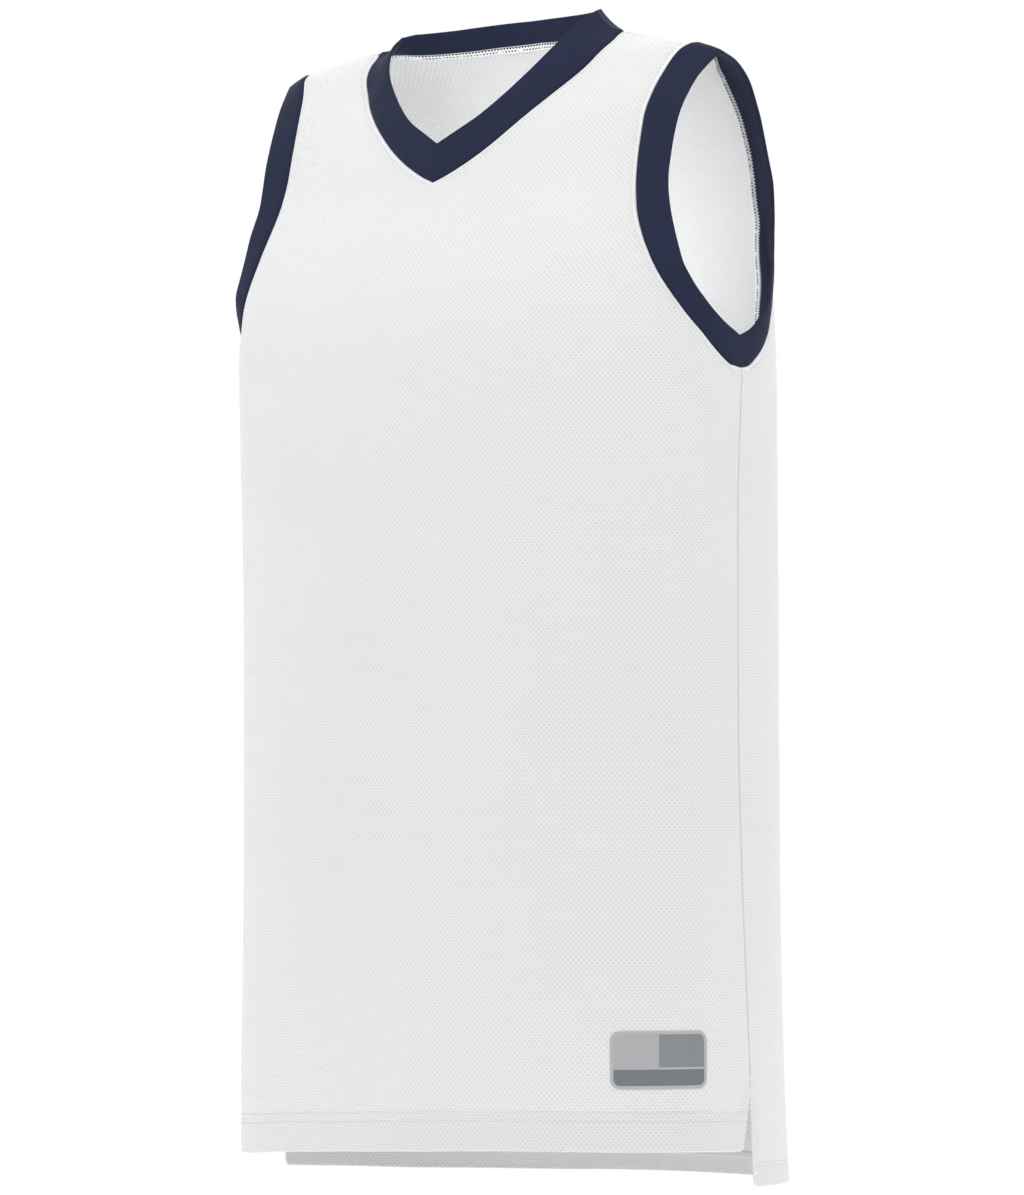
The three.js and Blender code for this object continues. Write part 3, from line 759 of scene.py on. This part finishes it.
def half_panel(half, side):
    """Angles and heights of one half of a panel, rows from the hem up and columns outwards."""
    panel = PANELS[half]
    centre, turn = panel["centre"], panel["turn"]
    rise = UNDERARM_Z - panel["hem_z"]
    height = hem_rows(half, rise)
    share_up = height / rise
    edge_z = lerp(hem_height(panel, np.float64(90), side), UNDERARM_Z, share_up)
    inset = CORNER_RADIUS - np.sqrt(CORNER_RADIUS**2 - np.maximum(0, CORNER_RADIUS - height) ** 2)
    edge = side_angle(panel, edge_z) - turn * np.degrees(inset / section["half_width"](edge_z))
    ends = (np.full_like(edge, centre), edge_z), (edge, edge_z)
    share = column_places(row_lengths(*ends), np.zeros(len(height)))
    low_angle = lerp(centre, edge[:, None], share)
    low_z = lerp(hem_height(panel, low_angle, side), UNDERARM_Z, share_up[:, None])

    steps = np.arange(1, UPPER_ROWS + 1)
    centre_rows = round(UPPER_ROWS * CENTRE_SHARE[half])
    neck_z = neck_seam[half](np.float64(0))[1]
    neck_share = np.clip((steps - centre_rows) / (UPPER_ROWS - centre_rows), 0, 1)
    neck_angle, seam_z = neck_seam[half](neck_share)
    on_centre = steps <= centre_rows
    inner_angle = np.where(on_centre, centre, neck_angle)
    inner_z = np.where(on_centre, lerp(UNDERARM_Z, neck_z, steps / centre_rows), seam_z)
    outer_angle, outer_z = arm_seam[half]((steps / UPPER_ROWS) ** ARM_SPACING)
    closer = smooth(steps, centre_rows - CLOSER_ROWS, centre_rows)
    share = column_places(row_lengths((inner_angle, inner_z), (outer_angle, outer_z)), closer)
    high_angle = lerp(inner_angle[:, None], outer_angle[:, None], share)
    high_z = lerp(inner_z[:, None], outer_z[:, None], share)
    ridge = np.degrees(np.arcsin(SEAM_CLEARANCE / section["half_width"](high_z[-1])))
    high_angle[-1] = 90 - turn * ridge
    return np.concatenate([low_angle, high_angle]) * side, np.concatenate([low_z, high_z])


SEAM_SHARES = np.linspace(0, 1, 120)
SHOULDER_SEAM = (-14.5, -1)


def seam_lines(half):
    """Lines that the panel is sewn along: to the bands, and to the other panel."""
    panel = PANELS[half]
    heights = np.linspace(VENT_TOP_Z, UNDERARM_Z, 90)
    lines = {"band": [], "side": []}
    for side in (1, -1):
        for read in (neck_seam[half], arm_seam[half]):
            lines["band"].append(body_point(*signed(read(SEAM_SHARES), side)))
        lines["side"].append(body_point(side_angle(panel, heights) * side, heights))
        lines["side"].append(body_point(90.0 * side, np.linspace(*SHOULDER_SEAM, 20)))
    return lines


def tuck(gap):
    """How far the cloth turns in beside a seam: a narrow bell on the distance from it."""
    return SEAM_TUCK * np.exp(-((gap / SEAM_TUCK_REACH) ** 2))


STITCH_GROOVE = 0.35
STITCH_GROOVE_HALF = 0.8
VENT_FACING = {"front": 8.5, "back": 5.5}
FACING_ABOVE, FACING_FADE = 4.0, 6.0


def panel_sheet(half):
    """The panel as one sheet: both halves joined along the centre line."""
    halves, faces, start = [], [], 0
    for side in (1, -1):
        angle, z = half_panel(half, side)
        row, column = lattice(*angle.shape)
        cells = row * angle.shape[1] + column + start
        faces.append(cells if side * PANELS[half]["turn"] > 0 else cells[:, ::-1])
        halves.append((angle.ravel(), z.ravel()))
        start += angle.size
    angle, z = (np.concatenate(column) for column in zip(*halves))
    spots = np.round(body_point(angle, z) * 1000).astype(np.int64)
    _, first, joined = np.unique(spots, axis=0, return_index=True, return_inverse=True)
    return angle[first], z[first], joined.reshape(-1)[np.concatenate(faces)]


RIM_BULGE = 0.25


def thin_wall(middle, out, front, behind, faces):
    """A closed wall from a sheet: its points moved out and in, and a rim that bulges outwards from
    each open edge. The last result says which sheet point each wall point comes from."""
    count = len(middle)
    outer, inner = middle + out * front[:, None], middle - out * behind[:, None]
    sides = np.concatenate([faces[:, [k, (k + 1) % 4]] for k in range(4)])
    codes = sides[:, 0] * count + sides[:, 1]
    rim = sides[~np.isin(codes, sides[:, 1] * count + sides[:, 0])]
    away = unit(np.cross(middle[rim[:, 1]] - middle[rim[:, 0]], out[rim].sum(axis=1)))
    pull = np.zeros((count, 3))
    np.add.at(pull, rim[:, 0], away)
    np.add.at(pull, rim[:, 1], away)
    ring = np.unique(rim)
    number = np.zeros(count, int)
    number[ring] = np.arange(len(ring)) + 2 * count
    bulge = RIM_BULGE * (front + behind)[ring, None]
    middle_rim = (outer[ring] + inner[ring]) / 2 + unit(pull[ring]) * bulge
    start, end = rim[:, 0], rim[:, 1]
    upper = np.stack([end, start, number[start], number[end]], axis=1)
    lower = np.stack([number[end], number[start], start + count, end + count], axis=1)
    every_face = np.concatenate([faces, faces[:, ::-1] + count, upper, lower])
    source = np.concatenate([np.arange(count), np.arange(count), ring])
    return np.concatenate([outer, inner, middle_rim]), every_face, source


def make_panel(half):
    """One panel of mesh cloth with its folds, seams turned in, hem and vent edges doubled."""
    panel = PANELS[half]
    angle, z, faces = panel_sheet(half)
    middle, out = cloth_point(angle, z)
    bare = body_point(angle, z)
    lines = seam_lines(half)
    band_gap, side_gap = (
        np.min([distance_to_line(bare, line) for line in lines[kind]], axis=0) for kind in ("band", "side")
    )
    side = np.where(angle < 0, -1, 1)
    rise = UNDERARM_Z - panel["hem_z"]
    hem_z = hem_height(panel, np.abs(angle), side)
    stretched = (z - hem_z) * rise / (UNDERARM_Z - hem_z)
    above_hem = np.where(z < UNDERARM_Z, stretched, z - panel["hem_z"])
    edge_angle = side_angle(panel, np.minimum(z, UNDERARM_Z))
    from_edge = np.abs(np.radians(edge_angle - np.abs(angle))) * section["half_width"](z)
    drop = tuck(band_gap) + SIDE_TUCK_SHARE * tuck(side_gap)
    for line in HEM_STITCHES[half]:
        drop += STITCH_GROOVE * np.exp(-(((above_hem - line) / STITCH_GROOVE_HALF) ** 2))
    doubled = 1 - smooth(above_hem, HEM_STITCHES[half][1] - 0.4, HEM_STITCHES[half][1] + 0.6)
    in_facing = 1 - smooth(from_edge, VENT_FACING[half] - 1, VENT_FACING[half] + 1)
    facing = smooth(VENT_TOP_Z + FACING_ABOVE - z, 0, FACING_FADE) * in_facing
    behind = CLOTH_BEHIND + HEM_DOUBLING * np.maximum(doubled, facing)
    middle = middle - out * drop[:, None]
    front = np.full(len(z), CLOTH_FRONT)
    points, every_face, source = thin_wall(middle, out, front, behind, faces)
    across = length_round(angle, z)
    if half == "back":
        across = np.sign(across) * (length_round(np.full_like(z, 180.0), z) - np.abs(across))
    uv = np.stack([across, length_up(half, z)], axis=1)
    piece = add_piece(
        half + "_panel_cloth",
        half + "_panel",
        CLOTH,
        points,
        every_face,
        uv=uv[source][every_face],
        attributes={"seam_gap": band_gap[source], "side_gap": side_gap[source]},
    )
    corners = middle[faces]
    twice_areas = np.cross(corners[:, 2] - corners[:, 0], corners[:, 3] - corners[:, 1])
    return piece, np.linalg.norm(twice_areas, axis=1).sum() / 2


def ripple(run, waves):
    """A sum of sines along a run: each wave's height, its length over 2 pi, and its shift."""
    return sum(height * np.sin(run / reach + shift) for height, reach, shift in waves)


def length_pairs(run, across):
    """The length along a loop and the length across it, for each point of an open grid."""
    return np.stack([np.broadcast_to(run[:, None], across.shape), across], axis=-1).reshape(-1, 2)


def section_faces(stations, sides, closed=True):
    """Faces of a run of closed sections, joined into a ring or capped, and the open grid's cells
    for its lengths."""
    row, column = lattice(stations + closed, sides + 1)
    faces, cells = (row % stations) * sides + column % sides, row * (sides + 1) + column
    if closed:
        return faces, cells
    step = np.arange(sides // 2 - 1)
    cap = np.stack([step, step + 1, sides - 2 - step, sides - 1 - step], axis=1)
    last = stations - 1
    return (
        np.concatenate([faces, cap[:, ::-1], cap + last * sides]),
        np.concatenate([cells, cap[:, ::-1], cap + last * (sides + 1)]),
    )


BAND_HALF = 1.1
BAND_SEAM_HALF = 0.45
BAND_GAP = 0.25
NECK_CROWN, NECK_HOLLOW, HOLLOW_FROM = 0.7, -3.2, 0.7
ARM_CROWN = 0.3
BAND_FOLD, FOLD_TURN = 1.2, np.radians([0, 30, 52, 72, 90])
BAND_RISE, BAND_LEAN = 2.6, 3.0
BAND_TUCK_SHARE = 0.8
BAND_PUCKER = ((0.1, 4.1, 0), (0.08, 6.7, 1.3))
MITRE_DEPTH, MITRE_HALF = 0.45, 0.9
BAND_SHARES = np.concatenate([[0, 0.03, 0.07, 0.12], np.linspace(0.2, 0.85, 6), [0.915]])


def band_profile(width):
    """Shares across the band from its seam to its folded edge, with half thicknesses there."""
    every, width = np.ones((len(width), 1)), width[:, None]
    flat, folded = BAND_SHARES * every, 1 - BAND_FOLD / width * (1 - np.sin(FOLD_TURN))
    rising = lerp(BAND_SEAM_HALF, BAND_HALF, smooth(BAND_SHARES * width, 0, BAND_RISE))
    falling = every * BAND_HALF * np.cos(FOLD_TURN)
    return np.concatenate([flat, folded], axis=1), np.concatenate([rising, falling], axis=1)


def make_band(name, node, seam, seam_out, edge, outwards, mitres, rise):
    """A doubled knit band: a flat loop in section, with a crown, a soft folded edge and its seam
    turned in, carried round the seam. A crease runs across it at each mitre."""
    middle_line = (seam + edge) / 2
    along = np.roll(middle_line, -1, axis=0) - np.roll(middle_line, 1, axis=0)
    across = edge - seam
    width = np.linalg.norm(across, axis=1)
    out = unit(np.cross(along, across)) * outwards
    run = run_along(np.concatenate([seam, seam[:1]]))
    share, half = band_profile(width)
    start = seam + across * (BAND_GAP / width)[:, None]
    crease = np.zeros(len(seam))
    for mitre in mitres:
        apart = np.abs((run[:-1] - run[mitre] + run[-1] / 2) % run[-1] - run[-1] / 2)
        crease += np.exp(-((apart / MITRE_HALF) ** 2))
    pucker = ripple(run[:-1], BAND_PUCKER)
    crown = rise[:, None] * np.sin(np.pi * share) - tuck(share * width[:, None]) * BAND_TUCK_SHARE
    crown += (pucker - MITRE_DEPTH * crease)[:, None] * np.sin(np.pi * share) ** 0.5
    middle = start[:, None] + (edge - start)[:, None] * share[..., None]
    lean = smooth(share * width[:, None], 0, BAND_LEAN)[..., None]
    direction = unit(seam_out[:, None] * (1 - lean) + out[:, None] * lean)
    middle = middle + out[:, None] * crown[..., None]
    upper = middle + direction * half[..., None]
    lower = (middle - direction * half[..., None])[:, -2::-1]
    points = np.concatenate([upper, lower], axis=1)
    stations, sides = points.shape[:2]
    faces, cells = section_faces(stations, sides)
    inward = share[:, -2::-1]
    shares = np.concatenate([share, inward, share[:, :1]], axis=1)
    shares = np.concatenate([shares, shares[:1]])
    closed_width = np.concatenate([width, width[:1]])[:, None]
    uv = length_pairs(run, shares * closed_width)
    piece = add_piece(name, node, KNIT, points.reshape(-1, 3), faces, uv=uv[cells])
    return piece, run[-1], width.mean()


def neck_ring():
    """Angles and heights of the neck seam and the points of the free edge, once round."""
    front_share, back_share = np.linspace(0, 1, 170), np.linspace(1, 0, 130)[1:]
    ends = [neck_seam["front"](front_share), neck_seam["back"](back_share)]
    angle, z = (np.concatenate([end[k] for end in ends]) for k in (0, 1))
    edge = np.concatenate([neck_edge["front"](front_share), neck_edge["back"](back_share)])
    right = slice(len(angle) - 2, 0, -1)
    drop = RIGHT_NECK_DROP * (edge[:, 0] / edge[:, 0].max()) ** 2
    spread = RIGHT_NECK_SPREAD * (edge[:, 0] / edge[:, 0].max()) ** 2
    mirrored = edge * [-1, 1, 1] - place(spread, 0, drop)
    share = np.concatenate([front_share, back_share])
    rise = lerp(NECK_CROWN, NECK_HOLLOW, smooth(share, HOLLOW_FROM, 1))
    return (
        np.concatenate([angle, -angle[right]]),
        np.concatenate([z, z[right]]),
        np.concatenate([edge, mirrored[right]]),
        [0],
        np.concatenate([rise, rise[right]]),
    )


def arm_ring(side):
    """The same for one armhole, from the shoulder down the front and up the back."""
    share = np.linspace(0, 1, 160) ** ARM_SPACING
    down, up = share[::-1], share[1:-1]
    ends = [arm_seam["front"](down), arm_seam["back"](up)]
    angle, z = (np.concatenate([end[k] for end in ends]) for k in (0, 1))
    edge = np.concatenate([arm_edge["front"](down), arm_edge["back"](up)]) * [side, 1, 1]
    return angle * side, z, edge, [len(down) - 1], np.full(len(z), ARM_CROWN)


def band_from_ring(name, node, ring, outwards):
    angle, z, edge, mitres, rise = ring
    seam, seam_out = cloth_point(angle, z)
    edge = edge + seam_out * relief(angle, z)[:, None]
    piece, length, width = make_band(name, node, seam, seam_out, edge, outwards, mitres, rise)


TAG_WIDTH, TAG_HEIGHT, TAG_CORNER = 64.0, 36.6, 6.0
TAG_CENTRE_Z = -676.9
TAG_INNER_X = 146.5
TAG_THICKNESS = 0.35
TAG_RIM = 0.15


def make_tag():
    """The pressed-on tag: a rounded rectangle on the cloth's own points, moved out."""
    turn = np.linspace(0, np.pi / 2, 9)
    corner = TAG_CORNER * (1 - np.cos(turn))
    flat = np.linspace(TAG_CORNER, TAG_WIDTH - TAG_CORNER, 44)[1:-1]
    across = np.concatenate([corner, flat, TAG_WIDTH - corner[::-1]])
    up = np.sin(np.linspace(-np.pi / 2, np.pi / 2, 33))
    into_corner = np.maximum(0, TAG_CORNER - np.minimum(across, TAG_WIDTH - across))
    half_height = TAG_HEIGHT / 2 - TAG_CORNER + np.sqrt(TAG_CORNER**2 - into_corner**2)
    angles = np.linspace(40, 90, 2001)
    run = length_round(angles, np.full(2001, TAG_CENTRE_Z))
    start = np.interp(angle_at("front", TAG_INNER_X, TAG_CENTRE_Z), angles, run)
    angle = np.interp(start + across, run, angles)
    z = TAG_CENTRE_Z + up * half_height[:, None]
    middle, out = cloth_point(np.broadcast_to(angle[:, None], z.shape), z, CLOTH_FRONT + 0.05)
    row, column = lattice(*z.shape)
    faces = row * z.shape[1] + column
    sideways = np.abs(across - TAG_WIDTH / 2)[:, None] - (TAG_WIDTH / 2 - TAG_CORNER)
    upright = np.abs(z - TAG_CENTRE_Z) - (TAG_HEIGHT / 2 - TAG_CORNER)
    rounded = np.hypot(np.maximum(sideways, 0), np.maximum(upright, 0))
    rounded += np.minimum(np.maximum(sideways, upright), 0)
    rim_gap = (TAG_CORNER - rounded).ravel()
    front = TAG_THICKNESS + TAG_RIM * (1 - smooth(rim_gap, 1.6, 2.2))
    sheet = middle.reshape(-1, 3), out.reshape(-1, 3)
    points, every_face, source = thin_wall(*sheet, front, np.zeros(len(rim_gap)), faces[:, ::-1])
    uv = np.broadcast_arrays(across[:, None] - TAG_WIDTH / 2, z - TAG_CENTRE_Z)
    uv = np.stack(uv, axis=-1).reshape(-1, 2)
    uv, attributes = uv[source][every_face], {"rim_gap": rim_gap[source]}
    add_piece("hem_tag_film", "hem_tag", FILM, points, every_face, uv, attributes)


STITCH_LENGTH, STITCH_PITCH, STITCH_NEAR = 2.2, 2.8, 0.4
STITCH_HALF_WIDTH, STITCH_HALF_HEIGHT = 0.26, 0.2
STITCH_DIVE, STITCH_LIFT = 0.3, 0.02
BESIDE_BAND = 2.8
HEM_STITCH_SPAN = 0.985
CAPSULE_PLACES = np.array([-1, -0.86, -0.5, 0.5, 0.86, 1])
CAPSULE_SIZES = np.array([0.3, 0.75, 1, 1, 0.75, 0.3])
CAPSULE_SIDES = 6
CAPSULE_END = np.array([[0, 1, 2, 3], [0, 3, 4, 5]])


def dots(one, two):
    return (one * two).sum(axis=1)


def beside(angle, z, aside):
    """A path over the surface moved sideways by a length: the sideways step, square to the path and
    to the surface, is split into a step round and a step up by their dot products."""
    out = body_normal(angle, z)
    around = (body_point(angle + NORMAL_STEP, z) - body_point(angle - NORMAL_STEP, z)) / (2 * NORMAL_STEP)
    upward = (body_point(angle, z + NORMAL_STEP) - body_point(angle, z - NORMAL_STEP)) / (2 * NORMAL_STEP)
    step = unit(np.cross(out, np.gradient(body_point(angle, z), axis=0))) * aside
    aa, uu, au = dots(around, around), dots(upward, upward), dots(around, upward)
    sa, su = dots(step, around), dots(step, upward)
    whole = aa * uu - au**2
    return angle + (sa * uu - su * au) / whole, z + (su * aa - sa * au) / whole


def stitch_row(angle, z, lift):
    """Stitches in even steps along a path on the cloth: their middles, directions and ways out."""
    line, _ = cloth_point(angle, z, lift)
    run = run_along(line)
    places = np.arange(STITCH_PITCH / 2, run[-1] - STITCH_PITCH / 2, STITCH_PITCH)
    (before, _), (middle, out), (after, _) = (
        cloth_point(np.interp(places + near, run, angle), np.interp(places + near, run, z), lift)
        for near in (-STITCH_NEAR, 0, STITCH_NEAR)
    )
    return middle, unit(after - before), out


def make_stitches(name, node, rows, length=STITCH_LENGTH):
    """Threads as small capsules: rings whose size falls to the ends, which dive into the cloth by
    the square of their distance from the middle."""
    middle, along, out = (np.concatenate(columns) for columns in zip(*rows))
    aside = np.cross(out, along)
    turn = np.arange(CAPSULE_SIDES) * 2 * np.pi / CAPSULE_SIDES
    size = CAPSULE_SIZES[:, None]
    reach = along[:, None, None] * (CAPSULE_PLACES * length / 2)[:, None, None]
    sink = out[:, None, None] * (-STITCH_DIVE * CAPSULE_PLACES**2)[:, None, None]
    across = aside[:, None, None] * (size * np.cos(turn) * STITCH_HALF_WIDTH)[..., None]
    height = out[:, None, None] * (size * np.sin(turn) * STITCH_HALF_HEIGHT)[..., None]
    points = middle[:, None, None] + reach + sink + across + height
    row, column = lattice(len(size), CAPSULE_SIDES + 1)
    body = row * CAPSULE_SIDES + column % CAPSULE_SIDES
    last = (len(size) - 1) * CAPSULE_SIDES
    capsule = np.concatenate([body, CAPSULE_END[:, ::-1], CAPSULE_END + last])
    first = np.arange(len(middle)) * len(size) * CAPSULE_SIDES
    faces = (first[:, None, None] + capsule).reshape(-1, 4)
    add_piece(name, node, THREAD, points.reshape(-1, 3), faces)


def hem_path(half, above):
    """A line round a panel at a height above its hem, from its right edge to its left one."""
    panel = PANELS[half]
    share = np.linspace(-HEM_STITCH_SPAN, HEM_STITCH_SPAN, 400)
    side = np.where(share < 0, -1, 1)
    edge = side_angle(panel, np.full(len(share), panel["hem_z"] + above))
    angle = lerp(panel["centre"], edge, np.abs(share))
    hem_z = hem_height(panel, angle, side)
    return angle * side, hem_z + above * (UNDERARM_Z - hem_z) / (UNDERARM_Z - panel["hem_z"])


def vent_path(half, side):
    """The line that holds the turned edge beside a vent."""
    panel = PANELS[half]
    z = np.linspace(panel["hem_z"] + HEM_STITCHES[half][1], VENT_TOP_Z - 2, 60)
    inset = panel["turn"] * np.degrees(VENT_FACING[half] / section["half_width"](z))
    return (side_angle(panel, z) - inset) * side, z


def sew_panel(half):
    """All the thread that shows on one panel: beside its bands, above its hem and by its vents."""
    surface = CLOTH_FRONT + STITCH_LIFT
    rows = []
    for side in (1, -1):
        for read, towards in ((neck_seam[half], -1), (arm_seam[half], 1)):
            aside = towards * PANELS[half]["turn"] * BESIDE_BAND
            path = beside(*read(np.linspace(0.004, 0.996, 300)), aside)
            rows.append(stitch_row(*signed(path, side), surface))
        rows.append(stitch_row(*vent_path(half, side), surface))
    for above in HEM_STITCHES[half]:
        rows.append(stitch_row(*hem_path(half, above), surface - STITCH_GROOVE))
    make_stitches(half + "_panel_stitches", half + "_panel", rows)


BAR_TACK_LENGTH, BAR_TACK_STEP, BAR_TACK_LIFT = 3.4, 0.34, 0.1
BAR_TACK_Z = VENT_TOP_Z + 6


def make_bar_tacks():
    """A short bar of close stitches across each side seam, just above the vent."""
    z = BAR_TACK_Z + BAR_TACK_STEP * np.arange(-2, 3)
    rows = []
    for side in (1, -1):
        angle = side_angle(PANELS["front"], z) * side
        middle, out = cloth_point(angle, z, CLOTH_FRONT + BAR_TACK_LIFT)
        rows.append((middle, unit(np.cross(place(0, 0, np.ones(len(z))), out)), out))
    make_stitches("vent_bar_tacks", "front_panel", rows, BAR_TACK_LENGTH)


STRIP_SHARES = np.array([0, 0.12, 0.35, 0.6, 0.85, 0.96, 1])
STRIP_HALVES = np.array([0.3, 0.4, 0.5, 0.55, 0.55, 0.42, 0.2])
STRIP_ROOT = 0.7
STRIP_WAVE = ((0.25, 2.9, 0), (0.2, 5.3, 1))
SIDE_STRIP, SHOULDER_STRIP = (VENT_TOP_Z + 3, UNDERARM_Z - 6), (-13, -3.5)
OVERLOCK = 4.3
NAVY_LEAST, ALL_WHITE = 0.4, -3.0
SEAM_ALLOWANCE = 5.0
NECK_FOLD_FRONT, NECK_FOLD_BACK, ARM_FOLD = 0.6, 0.78, 0.12
NAVY_ALLOWANCE = table(
    ("z", "width"),
    [(-230, 1), (-206, 4), (-185, 6.4), (-156, 6), (-140, 4), (-122, 0.4), (0, 0.4)],
)


def make_strip(name, root, direction, width, navy, closed):
    """An overlocked seam allowance: a thin strip that stands off the inside of a seam, with its
    thread along its far edge. A negative navy width leaves it all white."""
    line = np.concatenate([root, root[:1]]) if closed else root
    run = run_along(line)
    along = np.roll(root, -1, axis=0) - np.roll(root, 1, axis=0) if closed else np.gradient(root, axis=0)
    aside = unit(np.cross(along, direction))
    far = STRIP_ROOT + STRIP_SHARES * width[:, None]
    sway = ripple(run[: len(root)], STRIP_WAVE)[:, None] * STRIP_SHARES**2
    face = root[:, None] + direction[:, None] * far[..., None] + aside[:, None] * sway[..., None]
    thick = aside[:, None] * STRIP_HALVES[:, None]
    points = np.concatenate([face + thick, (face - thick)[:, ::-1]], axis=1)
    stations, sides = points.shape[:2]
    faces, cells = section_faces(stations, sides, closed)
    across = np.concatenate([STRIP_SHARES, STRIP_SHARES[::-1], STRIP_SHARES[:1]]) * width[:, None]
    across = np.concatenate([across, across[:1]]) if closed else across
    uv = length_pairs(run, across)
    points, attributes = points.reshape(-1, 3), {"navy_to": np.repeat(navy, sides)}
    add_piece(name, "back_panel", OVERLOCKED, points, faces, uv[cells], attributes)


def strip_from_ring(name, ring, fold):
    """The allowance inside a band's seam. fold is how far each station lies over the panel, from 0
    for standing straight in to 1 for flat on the cloth."""
    angle, z, edge = ring[:3]
    seam, out = cloth_point(angle, z)
    away = unit(seam - edge)
    away = unit(away - out * (away * out).sum(axis=1)[:, None])
    tilt = fold * np.pi / 2
    direction = unit(-out * np.cos(tilt)[:, None] + away * np.sin(tilt)[:, None])
    behind = np.abs(angle) > 90
    wide = through(NAVY_ALLOWANCE["z"], NAVY_ALLOWANCE["width"])(z)
    navy = np.where(behind & (fold < NECK_FOLD_FRONT), wide, NAVY_LEAST)
    make_strip(name, seam, direction, OVERLOCK + navy, navy, True)


def seam_strip(name, angle, z):
    """The white allowance inside a side or shoulder seam."""
    root, out = cloth_point(angle, z)
    count = len(root)
    make_strip(name, root, -out, np.full(count, SEAM_ALLOWANCE), np.full(count, ALL_WHITE), False)


def sew_inside():
    """Every overlocked allowance inside the garment."""
    ring = neck_ring()
    neck_fold = np.where(np.abs(ring[0]) > 90, NECK_FOLD_BACK, NECK_FOLD_FRONT)
    strip_from_ring("neck_overlock", ring, neck_fold)
    for side, name in ((1, "left"), (-1, "right")):
        ring = arm_ring(side)
        strip_from_ring(name + "_armhole_overlock", ring, np.full(len(ring[0]), ARM_FOLD))
        z = np.linspace(*SIDE_STRIP, 160)
        seam_strip(name + "_side_overlock", side_angle(PANELS["front"], z) * side, z)
        z = np.linspace(*SHOULDER_STRIP, 30)
        seam_strip(name + "_shoulder_overlock", np.full(len(z), 90.0 * side), z)


front_cloth, front_area = make_panel("front")
back_cloth, back_area = make_panel("back")
band_from_ring("neckband_knit", "neckband", neck_ring(), 1)
band_from_ring("left_armhole_band_knit", "left_armhole_band", arm_ring(1), 1)
band_from_ring("right_armhole_band_knit", "right_armhole_band", arm_ring(-1), -1)
make_tag()
sew_panel("front")
sew_panel("back")
make_bar_tacks()
sew_inside()

CAMERA_AZIMUTH = 36.0
CAMERA_DISTANCE = 3.5
CAMERA_HEIGHT = -0.5244
AIM_HEIGHT = -0.3746
AIM_ASIDE = 0.0087
LENS = 157.5
LIGHT_AIM = Vector((0, 0, -0.35))
FLOOR_Z, FLOOR_HALF = -1.35, 40.0
FLOOR_GLOW = 0.12


def add_camera():
    """The photograph's view: level with the lower body, from the wearer's left front."""
    turn = np.radians(CAMERA_AZIMUTH)
    eye = Vector((np.sin(turn) * CAMERA_DISTANCE, -np.cos(turn) * CAMERA_DISTANCE, CAMERA_HEIGHT))
    target = Vector((np.cos(turn) * AIM_ASIDE, np.sin(turn) * AIM_ASIDE, AIM_HEIGHT))
    camera = bpy.data.objects.new("camera", bpy.data.cameras.new("camera"))
    camera.data.lens = LENS
    camera.data.clip_end = 100
    camera.location = eye
    camera.rotation_euler = (target - eye).to_track_quat("-Z", "Y").to_euler()
    bpy.context.scene.collection.objects.link(camera)
    bpy.context.scene.camera = camera


def add_lamp(name, location, towards, size, power):
    """A square area light that shines along a direction."""
    lamp = bpy.data.objects.new(name, bpy.data.lights.new(name, "AREA"))
    lamp.data.size = size
    lamp.data.energy = power
    lamp.location = location
    lamp.rotation_euler = towards.to_track_quat("-Z", "Y").to_euler()
    bpy.context.scene.collection.objects.link(lamp)
    return lamp


def add_softbox(name, azimuth, elevation, distance, size, power):
    """A lamp that looks at the garment's middle from a direction given in degrees."""
    turn, lift = np.radians(azimuth), np.radians(elevation)
    offset = Vector((np.sin(turn) * np.cos(lift), -np.cos(turn) * np.cos(lift), np.sin(lift))) * distance
    add_lamp(name, LIGHT_AIM + offset, -offset, size, power)


def add_stage():
    """A plain pale floor, well below the hanging part, under a white sky."""
    mesh = bpy.data.meshes.new("floor")
    turns = ((-1, -1), (1, -1), (1, 1), (-1, 1))
    corners = [(x * FLOOR_HALF, y * FLOOR_HALF, FLOOR_Z) for x, y in turns]
    mesh.from_pydata(corners, [], [(0, 1, 2, 3)])
    floor = bpy.data.objects.new("floor", mesh)
    bpy.context.scene.collection.objects.link(floor)
    pale = bpy.data.materials.new("pale_floor")
    pale.use_nodes = True
    shader = pale.node_tree.nodes["Principled BSDF"]
    shader.inputs["Base Color"].default_value = rgb(0.9, 0.9, 0.9)
    shader.inputs["Roughness"].default_value = 0.9
    shader.inputs["Emission Color"].default_value = rgb(1, 1, 1)
    shader.inputs["Emission Strength"].default_value = FLOOR_GLOW
    floor.data.materials.append(pale)
    world = bpy.context.scene.world or bpy.data.worlds.new("studio")
    bpy.context.scene.world = world
    world.use_nodes = True
    sky = world.node_tree.nodes["Background"]
    sky.inputs["Color"].default_value = rgb(1, 1, 1)
    sky.inputs["Strength"].default_value = 1.0


add_camera()
add_stage()
add_softbox("top_softbox", 20, 50, 2.6, 1.8, 15)
add_softbox("side_softbox", 60, 30, 3.0, 1.6, 4)
add_softbox("back_softbox", 205, 40, 3.0, 2.0, 13)
# Inside the garment, itself unseen: it fills the neck and the armholes.
inner_lamp = add_lamp("inner_lamp", (0.02, -0.05, -0.155), Vector((-0.25, 1, 0)), 0.09, 0.28)
inner_lamp.visible_camera = False
bpy.context.scene.view_settings.view_transform = "Standard"
